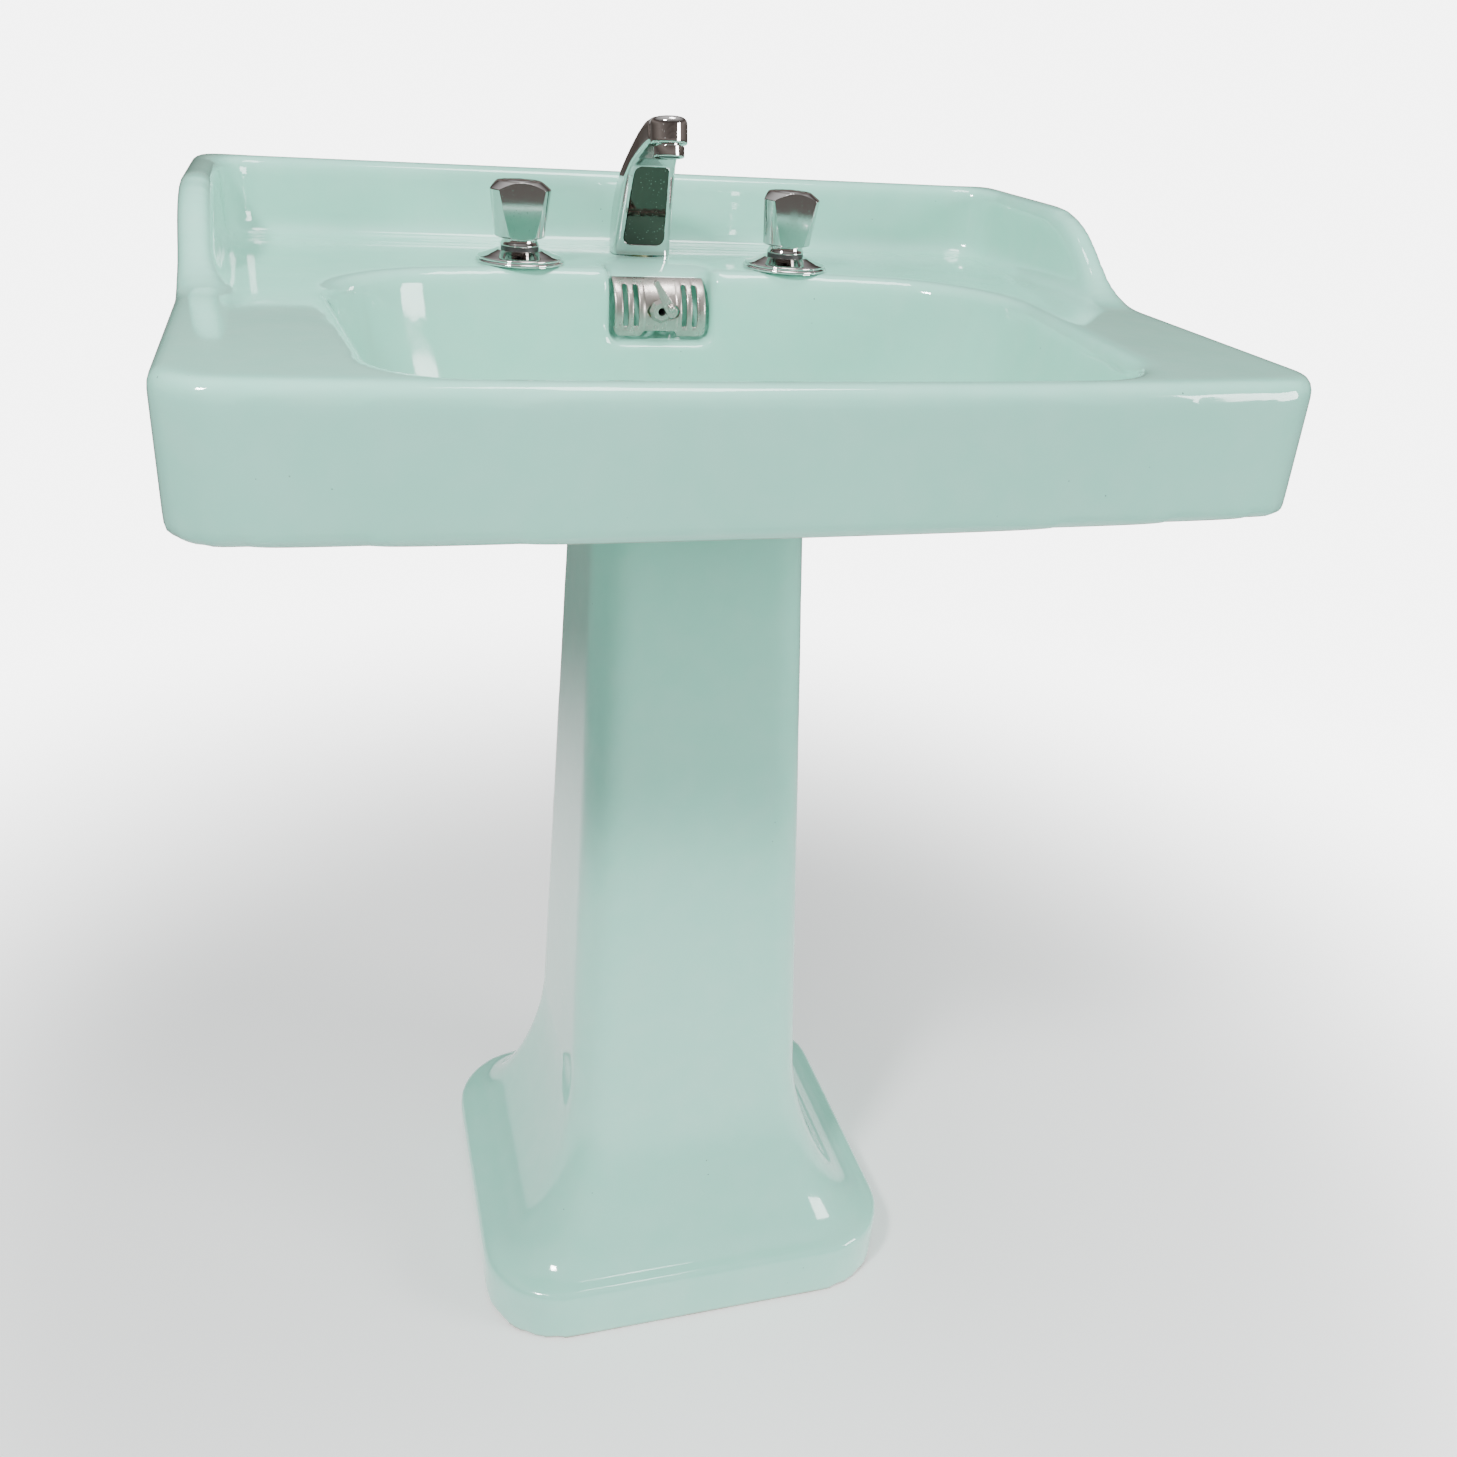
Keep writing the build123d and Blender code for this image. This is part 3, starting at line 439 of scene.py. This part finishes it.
# ------------------------------------------------------------------ properties
class SinkSettings(bpy.types.PropertyGroup):
    """Colours, roughness and softness of the sink's finishes"""

    glaze_colour: bpy.props.FloatVectorProperty(
        name="Glaze", description="Colour of the glaze", subtype="COLOR", size=3,
        min=0, max=1, default=(0.30, 0.70, 0.565))
    clay_colour: bpy.props.FloatVectorProperty(
        name="Clay", description="Bare clay along the unglazed edges", subtype="COLOR", size=3,
        min=0, max=1, default=(0.21, 0.13, 0.07))
    chrome_colour: bpy.props.FloatVectorProperty(
        name="Chrome", description="Colour of the chrome plate", subtype="COLOR", size=3,
        min=0, max=1, default=(0.66, 0.64, 0.63))
    nickel_colour: bpy.props.FloatVectorProperty(
        name="Nickel", description="Colour of the worn overflow plate", subtype="COLOR", size=3,
        min=0, max=1, default=(0.50, 0.45, 0.42))
    panel_colour: bpy.props.FloatVectorProperty(
        name="Panel", description="Colour of the smoked panel in the spout", subtype="COLOR", size=3,
        min=0, max=1, default=(0.085, 0.070, 0.062))
    glaze_roughness: bpy.props.FloatProperty(
        name="Glaze roughness", description="Lowest roughness of the glaze", subtype="FACTOR",
        min=0, max=1, default=0.07)
    chrome_roughness: bpy.props.FloatProperty(
        name="Chrome roughness", description="Lowest roughness of the chrome", subtype="FACTOR",
        min=0, max=1, default=0.05)
    ceramic_net: bpy.props.FloatProperty(
        name="Ceramic net", description="Spacing of the net that the ceramic is rebuilt with",
        subtype="DISTANCE", unit="LENGTH", min=0.002, max=0.01, default=0.0044)
    rim_passes: bpy.props.IntProperty(
        name="Rim softness", description="Relaxing passes that round the splashback's edges",
        min=0, max=60, default=14)


class SINK_OT_basin(bpy.types.Operator):
    """Rebuild the basin with glazed, rounded edges"""

    bl_idname = "sink.basin"
    bl_label = "Basin"

    def execute(self, context):
        sink = context.scene.sink
        basin = copy_of("basin", "basin_glazed")
        soften(basin, sink.ceramic_net, 3)
        inner_x = CAD_BOX[1].x - 0.030
        deck = 0.822

        def near_arm_top(point):
            """Strong on the splashback above the deck, none on the flat deck or the apron."""
            if point.z < deck or point.y < -0.03:
                return 0.0
            inside = abs(point.x) > inner_x - 0.012 or point.y > 0.225
            return min((point.z - deck) / 0.010, 1.0) if inside else 0.0

        relax_where(basin, near_arm_top, sink.rim_passes)
        settle(basin)
        material = glaze("basin glaze", sink, basin_edges)
        add_piece(basin, BODY_OF["basin"], "green_glaze", material, "basin")
        return {"FINISHED"}


class SINK_OT_pedestal(bpy.types.Operator):
    """Rebuild the pedestal with glazed, rounded edges"""

    bl_idname = "sink.pedestal"
    bl_label = "Pedestal"

    def execute(self, context):
        sink = context.scene.sink
        pedestal = copy_of("pedestal", "pedestal_glazed")
        soften(pedestal, sink.ceramic_net * 0.9, 6)
        settle(pedestal)
        material = glaze("pedestal glaze", sink, pedestal_edges)
        add_piece(pedestal, BODY_OF["pedestal"], "green_glaze", material, "pedestal")
        return {"FINISHED"}


class SINK_OT_taps(bpy.types.Operator):
    """Model both taps: escutcheon, gland ring, neck, facetted knob and cap"""

    bl_idname = "sink.taps"
    bl_label = "Taps"

    # Millimetres: the flats' distance from the axis, and two levels above the deck.
    FACET = 16.8
    SKIRT = 18.5
    CROWN = 52.0

    def execute(self, context):
        materials = finishes()
        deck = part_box("escutcheon_hot")[0].z / MM
        for side in SIDES:
            self.tap(side, axis_of(f"escutcheon_{side}"), deck, materials)
        return {"FINISHED"}

    def tap(self, side, centre, deck, materials):
        skirt = deck + self.SKIRT
        crown = deck + self.CROWN
        chrome_plate = materials["chrome"]
        profile = [(5.05, skirt), (17.2, skirt), *arc((17.6, skirt + 1.9), 1.9, -80, -10, 4),
                   *arc((22.7, crown + 0.8), 1.6, -5, 62, 5), *arc((16.4, crown + 4.9), 1.8, 62, 88, 3),
                   (14.0, crown + 6.7), (13.4, crown + 6.2), (13.3, crown + 4.4), (4.4, crown + 4.4),
                   (4.4, crown), (2.3, crown), (2.3, crown - 8), (5.05, crown - 8)]
        knob = turned(f"knob_shell_{side}", centre, profile, steps=96)
        settle(knob, 40)
        for turn in (0, 120, 240):
            out = Matrix.Rotation(math.radians(turn), 3, "Z") @ Vector((0, -1, 0))
            edit(knob)
            bpy.ops.mesh.select_all(action="SELECT")
            on_face = Vector((centre[0], centre[1], 0)) + out * self.FACET * MM
            bpy.ops.mesh.bisect(plane_co=on_face, plane_no=out, use_fill=True, clear_outer=True)
            leave()
        apply(knob, "BEVEL", width=0.5 * MM, segments=3, limit_method="ANGLE",
              angle_limit=math.radians(24), harden_normals=False)
        settle(knob, 35)
        apply(knob, "WEIGHTED_NORMAL", weight=50, keep_sharp=True)
        add_piece(knob, BODY_OF[f"knob_{side}"], "chrome", chrome_plate, f"knob_{side}")

        cap_profile = [(0, crown + 4.6), (13.0, crown + 4.6), *arc((12.2, crown + 6.0), 0.8, 0, 75, 4),
                       (11.4, crown + 6.9), (11.0, crown + 6.6), (10.5, crown + 7.05),
                       (7.5, crown + 7.6), (4.0, crown + 7.95), (0, crown + 8.05)]
        cap = turned(f"cap_{side}", centre, cap_profile, closed=False)
        settle(cap, 40)
        add_piece(cap, BODY_OF[f"index_cap_{side}"], "chrome", chrome_plate, f"index_cap_{side}")

        rose_profile = [(13.15, deck), (33.7, deck), *arc((33.0, deck + 1.3), 1.3, -60, 85, 6),
                        (32.3, deck + 2.9), *arc((31.5, deck + 3.9), 0.9, -20, 80, 4),
                        (27.5, deck + 5.9), (24.0, deck + 7.1), (20.5, deck + 8.5),
                        *arc((17.6, deck + 8.3), 1.2, 45, 90, 3), (13.15, deck + 9.5)]
        rose = turned(f"rose_{side}", centre, rose_profile, steps=96)
        settle(rose, 42)
        add_piece(rose, BODY_OF[f"escutcheon_{side}"], "chrome", chrome_plate, f"escutcheon_{side}")

        neck_profile = [(5.05, deck - 20), (8.95, deck - 20), (8.95, deck + 12),
                        *arc((14.2, deck + 12.8), 0.8, -90, 30, 4), (14.2, deck + 14.6),
                        (13.7, deck + 16.2), (13.8, deck + 18), (5.05, deck + 18)]
        neck = turned(f"neck_{side}", centre, neck_profile)
        settle(neck, 42)
        add_piece(neck, BODY_OF[f"tap_neck_{side}"], "chrome", chrome_plate, f"tap_neck_{side}")


class SINK_OT_spout(bpy.types.Operator):
    """Model the spout: a swept rounded body, a short outlet head and a recessed panel"""

    bl_idname = "sink.spout"
    bl_label = "Spout"

    # Front and back of the body at each level, as (y, z), then half the width of each.
    # These and the lengths below are in millimetres.
    STATIONS = (
        ((182.5, 816.5), (221.5, 816.5), 24.8, 22.0), ((182.4, 824.0), (222.8, 824.5), 24.8, 22.2),
        ((180.9, 831.0), (224.6, 833.0), 24.6, 22.0), ((176.9, 843.0), (224.8, 846.0), 24.2, 21.4),
        ((172.1, 856.0), (221.7, 860.0), 23.6, 20.6), ((166.7, 871.0), (213.7, 874.3), 22.6, 19.4),
        ((161.9, 883.0), (201.5, 886.0), 21.4, 18.2), ((155.6, 891.0), (187.5, 896.5), 19.8, 17.0),
        ((145.5, 897.6), (171.0, 908.5), 18.0, 15.8), ((134.0, 903.6), (153.5, 919.0), 16.2, 15.0),
        ((124.0, 908.0), (137.0, 926.5), 15.0, 14.4), ((114.0, 911.0), (121.0, 930.0), 14.2, 14.0),
    )
    TILT = math.radians(12)
    CROWN = Vector((0, 111.5, 929.5)) * MM
    HEAD_LENGTH = 19.0
    AERATOR_DROP = 9
    FOOT_Z = 820.3
    RING_POINTS = 40
    BACK_SQUARENESS = 0.62
    FRONT_SQUARENESS = 0.34

    def execute(self, context):
        materials = finishes()
        body = self.body()
        head = self.head()
        apply(body, "BOOLEAN", operation="UNION", object=head, solver="EXACT")
        bpy.data.objects.remove(head)
        soften(body, 0.9 * MM, 7)
        edit(body)
        bpy.ops.mesh.select_all(action="SELECT")
        bpy.ops.mesh.bisect(plane_co=(0, 0, self.FOOT_Z * MM), plane_no=(0, 0, 1),
                            use_fill=True, clear_inner=True)
        leave()
        self.recess(body)
        settle(body, 40)
        add_piece(body, BODY_OF["spout_body"], "chrome", materials["chrome"], "spout_body")
        self.aerator(materials)
        return {"FINISHED"}

    def body(self):
        """Extrude a ring from level to level, turning and resizing it at each."""
        deselect()
        bpy.ops.mesh.primitive_circle_add(vertices=self.RING_POINTS, radius=MM, fill_type="NGON")
        spout = bpy.context.object
        spout.name = spout.data.name = "spout_shell"
        edit(spout)
        for level, station in enumerate(self.STATIONS):
            if level:
                bpy.ops.mesh.extrude_region_move()
            mesh = bmesh.from_edit_mesh(spout.data)
            ring = [vertex for vertex in mesh.verts if vertex.select]
            centre = sum((vertex.co for vertex in ring), Vector()) / len(ring)
            self.shape(ring, centre, level, station)
            bmesh.update_edit_mesh(spout.data)
        leave()
        outward(spout)
        return spout

    def shape(self, ring, centre, level, station):
        """Set a ring on its level as a rounded box, squarer in front than behind."""
        (front_y, front_z), (back_y, back_z), front_half, back_half = station
        front = Vector((0, front_y, front_z)) * MM
        back = Vector((0, back_y, back_z)) * MM
        middle = (front + back) / 2
        reach = (back - front) / 2
        ring.sort(key=lambda vertex: math.atan2(*self.bearing(vertex.co - centre, level)))
        for index, vertex in enumerate(ring):
            angle = math.tau * index / len(ring) - math.pi
            cosine, sine = math.cos(angle), math.sin(angle)
            square = self.BACK_SQUARENESS if sine > 0 else self.FRONT_SQUARENESS
            depth = math.copysign(abs(sine) ** square, sine)
            half = front_half + (back_half - front_half) * (1 + depth) / 2
            side = math.copysign(abs(cosine) ** square, cosine) * half * MM
            vertex.co = middle + reach * depth + Vector((side, 0, 0))

    def bearing(self, offset, level):
        """Where a point stands round its ring: towards the back, then to the side."""
        if level < 2:
            return offset.y, offset.x
        (front_y, front_z), (back_y, back_z) = self.STATIONS[level - 1][:2]
        along = Vector((0, back_y - front_y, back_z - front_z)).normalized()
        return offset.dot(along), offset.x

    def head(self):
        """A short cylinder, tilted a little forwards, with a rounded crown."""
        up = Vector((0, math.sin(self.TILT), math.cos(self.TILT)))
        foot = self.CROWN - up * self.HEAD_LENGTH * MM
        profile = [(0, 0), (13.4, 0), *arc((13.3, 0.7), 0.7, -90, 0, 3), (14.0, 14.0),
                   *arc((9.4, 14.6), 4.6, 0, 80, 6), (0, 19.6)]
        head = turned("spout_head", (0, 0), profile, closed=False)
        head.rotation_euler = (-self.TILT, 0, 0)
        head.location = foot
        settle(head)
        return head

    def recess(self, body):
        """Sink the panel's seat, a little wider than the panel, into the front face."""
        cutter = copy_of("spout_panel", "panel_cutter")
        outward(cutter)
        low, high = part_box("spout_panel")
        centre = (low + high) / 2
        out = Vector((0, -60, -21)).normalized()
        for vertex in cutter.data.vertices:
            offset = vertex.co - centre
            rise = offset.dot(out)
            flat = offset - out * rise
            vertex.co = centre + flat * 1.025 + out * (rise + (12 * MM if rise > 0 else 0))
        apply(body, "BOOLEAN", operation="DIFFERENCE", object=cutter, solver="EXACT")
        bpy.data.objects.remove(cutter)

    def aerator(self, materials):
        """The ring under the outlet."""
        up = Vector((0, math.sin(self.TILT), math.cos(self.TILT)))
        foot = self.CROWN - up * (self.HEAD_LENGTH + self.AERATOR_DROP) * MM
        profile = [(8.0, 0.6), *arc((10.8, 0.8), 0.8, -90, 0, 4), (11.6, 7.2),
                   *arc((11.2, 7.4), 0.4, 0, 90, 2), (9.5, 8.0), (9.5, 17.5), (8.0, 17.5)]
        ring = turned("aerator_ring", (0, 0), profile)
        ring.rotation_euler = (-self.TILT, 0, 0)
        ring.location = foot
        settle(ring, 40)
        chrome_plate = materials["chrome"]
        add_piece(ring, BODY_OF["aerator_housing"], "chrome", chrome_plate, "aerator_housing")


class SINK_OT_overflow(bpy.types.Operator):
    """Rework the overflow plate, with its ribs and pocket, and the waste lever's blade"""

    bl_idname = "sink.overflow"
    bl_label = "Overflow plate"

    # Metres, but for the ribs: the middle and half width of each, and their height, in millimetres.
    RIBS = ((15.2, 2.4), (23.8, 2.6), (33.0, 3.6))
    RIB_HEIGHT = 1.0
    FEET_INNER = 14.5
    FEET_TOP_Z = 0.7755
    POCKET_PLACE = (0.0022, 0.112, 0.7885)
    POCKET_SCALE = (0.0132, 0.0066, 0.02)
    AXLE_Z = 0.789
    BLADE_BACK_Y = 0.1066
    BLADE_LEAN = math.radians(-16)
    BLADE_SHIFT = Vector((0.0058, 0, 0.0030))
    GRIP_PLACE = (0.0068, 0.1030, 0.7925)
    GRIP_SCALE = (0.0030, 0.0026, 0.0030)

    def execute(self, context):
        nickel = finishes()["aged_nickel"]
        plate = copy_of("overflow_plate", "overflow_face")
        self.pocket(plate)
        soften(plate, 0.55 * MM, 3)
        self.ribs(plate)
        settle(plate)
        add_piece(plate, BODY_OF["overflow_plate"], "aged_nickel", nickel, "overflow_plate")
        lever = copy_of("waste_lever", "waste_lever_blade")
        self.lean(lever)
        self.grip(lever)
        soften(lever, 0.4 * MM, 4)
        settle(lever)
        add_piece(lever, BODY_OF["waste_lever"], "aged_nickel", nickel, "waste_lever")
        return {"FINISHED"}

    def pocket(self, plate):
        """Cut the broad opening that the lever's boss sits in."""
        deselect()
        bpy.ops.mesh.primitive_cylinder_add(
            vertices=12, radius=1, depth=1, location=self.POCKET_PLACE,
            rotation=(math.pi / 2, 0, 0), scale=self.POCKET_SCALE)
        cutter = bpy.context.object
        apply(plate, "BOOLEAN", operation="DIFFERENCE", object=cutter, solver="EXACT")
        bpy.data.objects.remove(cutter)

    def ribs(self, plate):
        """Raise rounded ribs beside the slots and round the feet that join them."""
        for vertex in plate.data.vertices:
            out = -vertex.normal.y
            if out < 0.25:
                continue
            across = abs(vertex.co.x) / MM
            rise = max(math.sqrt(max(0.0, 1 - ((across - middle) / half) ** 2))
                       for middle, half in self.RIBS)
            if vertex.co.z < self.FEET_TOP_Z and across > self.FEET_INNER:
                rise = max(rise, min((self.FEET_TOP_Z - vertex.co.z) / 0.002, 1.0))
            vertex.co.y -= rise * out * self.RIB_HEIGHT * MM

    def lean(self, lever):
        """Turn the blade further to the side and set its foot off the axle, as it lies in use."""
        pivot = Vector((0, 0, self.AXLE_Z))
        turn = Matrix.Rotation(self.BLADE_LEAN, 3, "Y")
        for vertex in lever.data.vertices:
            if vertex.co.y < self.BLADE_BACK_Y:
                vertex.co = turn @ (vertex.co - pivot) + pivot + self.BLADE_SHIFT

    def grip(self, lever):
        """Add the small round grip at the blade's foot."""
        deselect()
        bpy.ops.mesh.primitive_uv_sphere_add(
            segments=24, ring_count=16, radius=1, location=self.GRIP_PLACE, scale=self.GRIP_SCALE)
        grip = bpy.context.object
        apply(lever, "BOOLEAN", operation="UNION", object=grip, solver="EXACT")
        bpy.data.objects.remove(grip)


class SINK_OT_fittings(bpy.types.Operator):
    """Finish the frame's own pieces: waste, trap, valves, pipes, washers and nuts"""

    bl_idname = "sink.fittings"
    bl_label = "Fittings"

    def execute(self, context):
        materials = finishes()
        slots = {part["node"]: part["material_slot"] for part in frame["record"]["subparts"]}
        for name, obj in NODES.items():
            if slots[name] in materials:
                obj.data.materials.clear()
                obj.data.materials.append(materials[slots[name]])
        return {"FINISHED"}


class SINK_OT_stage(bpy.types.Operator):
    """Set the floor, the soft lights and the camera"""

    bl_idname = "sink.stage"
    bl_label = "Stage"

    FLOOR_RADIUS = 2.4
    FLOOR_FADE = (0.5, 1.5)
    DAYLIGHT = (0.90, 0.93, 0.95, 1.0)
    WHITE = (1.0, 1.0, 1.0, 1.0)
    # The reflected room from straight below, at 0, to straight above, at 1.
    ROOM = ((0.0, (0.14, 0.14, 0.13)), (0.40, (0.24, 0.23, 0.22)), (0.50, (0.10, 0.085, 0.075)),
            (0.60, (0.30, 0.26, 0.24)), (0.70, (0.07, 0.055, 0.05)), (1.0, (1.0, 1.0, 1.0)))
    # Name, place, size in metres and power in watts.
    LAMPS = (("key", (-1.1, -1.0, 2.1), 0.28, 48.0), ("right", (2.2, -1.6, 1.3), 1.0, 62.0),
             ("top", (0.3, -0.2, 2.6), 0.7, 24.0))
    LIT_POINT = Vector((0, 0, 0.75))
    # Degrees: turned to the right, tipped down and rolled.
    CAMERA_ANGLES = (17.68, -26.97, 4.23)
    CAMERA_PLACE = (-0.2650, -0.9766, 0.9916)
    CAMERA_LENS = 33.91

    def execute(self, context):
        self.floor()
        self.world(context)
        self.lights()
        self.camera(context)
        return {"FINISHED"}

    def floor(self):
        """A pale floor that fades out towards its rim."""
        deselect()
        bpy.ops.mesh.primitive_circle_add(vertices=96, radius=self.FLOOR_RADIUS, fill_type="NGON")
        floor = bpy.context.object
        floor.name = "floor"
        finish = Finish("pale floor", roughness=0.7, emission_color=self.WHITE,
                        emission_strength=0.35)
        east, north = finish.axis(0), finish.axis(1)
        distance = (east * east + north * north).power(0.5)
        pale = finish.mix(finish.noise(0.7, 2.0), (0.86, 0.86, 0.85), (0.90, 0.90, 0.90))
        finish.set(base_color=pale, alpha=1 - distance.over(*self.FLOOR_FADE))
        floor.data.materials.append(finish.material)

    def world(self, context):
        """White behind the sink, even light all round, and a dim room in the reflections."""
        world = bpy.data.worlds.new("studio")
        context.scene.world = world
        world.use_nodes = True
        sky = Nodes(world.node_tree)
        sky.tree.nodes.remove(sky.tree.nodes["Background"])
        direction = sky.node("ShaderNodeTexCoord", output="Generated")
        height = sky.node("ShaderNodeSeparateXYZ", inputs={"Vector": direction}, output="Z")
        level = sky.node("ShaderNodeMapRange", inputs={"Value": height, "From Min": -1.0})
        room = sky.node("ShaderNodeValToRGB", {"stops": self.ROOM}, {"Fac": level})
        dim, even, white = (
            sky.node("ShaderNodeBackground", inputs={"Color": colour, "Strength": strength})
            for colour, strength in ((room, 1.0), (self.DAYLIGHT, 0.60), (self.WHITE, 6.0)))
        seen = even
        for ray, light in (("Is Glossy Ray", dim), ("Is Camera Ray", white)):
            factor = sky.node("ShaderNodeLightPath", output=ray)
            seen = sky.node("ShaderNodeMixShader", inputs={0: factor, 1: seen, 2: light})
        sky.connect(sky.tree.nodes["World Output"].inputs["Surface"], seen)

    def lights(self):
        """A small key from the left, a broad light from the right and a soft one overhead."""
        for name, place, size, power in self.LAMPS:
            lamp = bpy.data.lights.new(name, "AREA")
            lamp.size = size
            lamp.energy = power
            obj = bpy.data.objects.new(name, lamp)
            obj.location = place
            obj.rotation_mode = "QUATERNION"
            obj.rotation_quaternion = (self.LIT_POINT - obj.location).to_track_quat("-Z", "Y")
            bpy.context.scene.collection.objects.link(obj)

    def camera(self, context):
        """In front, a little above the rim and to the left, with a slight roll."""
        yaw, pitch, roll = (math.radians(angle) for angle in self.CAMERA_ANGLES)
        level = math.cos(pitch)
        forward = Vector((math.sin(yaw) * level, math.cos(yaw) * level, math.sin(pitch)))
        right = Vector((math.cos(yaw), -math.sin(yaw), 0))
        up = right.cross(forward)
        turned_right = right * math.cos(roll) + up * math.sin(roll)
        turned_up = up * math.cos(roll) - right * math.sin(roll)
        data = bpy.data.cameras.new("camera")
        data.lens = self.CAMERA_LENS
        data.clip_start = 0.05
        camera = bpy.data.objects.new("camera", data)
        rotation = Matrix((turned_right, turned_up, -forward)).transposed()
        camera.matrix_world = Matrix.Translation(self.CAMERA_PLACE) @ rotation.to_4x4()
        context.scene.collection.objects.link(camera)
        context.scene.camera = camera


OPERATORS = (SINK_OT_basin, SINK_OT_pedestal, SINK_OT_taps, SINK_OT_spout, SINK_OT_overflow,
             SINK_OT_fittings, SINK_OT_stage)


class SINK_PT_panel(bpy.types.Panel):
    """Lists the sink's settings and tools"""

    bl_label = "Pedestal sink"
    bl_idname = "SINK_PT_panel"
    bl_space_type = "VIEW_3D"
    bl_region_type = "UI"
    bl_category = "Sink"

    def draw(self, context):
        for name in SinkSettings.__annotations__:
            self.layout.prop(context.scene.sink, name)
        for operator in OPERATORS:
            self.layout.operator(operator.bl_idname)


CLASSES = (SinkSettings, *OPERATORS, SINK_PT_panel)


def register():
    for cls in CLASSES:
        bpy.utils.register_class(cls)
    bpy.types.Scene.sink = bpy.props.PointerProperty(type=SinkSettings)


def unregister():
    del bpy.types.Scene.sink
    for cls in reversed(CLASSES):
        bpy.utils.unregister_class(cls)


def main():
    register()
    for operator in OPERATORS:
        group, name = operator.bl_idname.split(".")
        getattr(getattr(bpy.ops, group), name)()


if __name__ == "__main__":
    main()
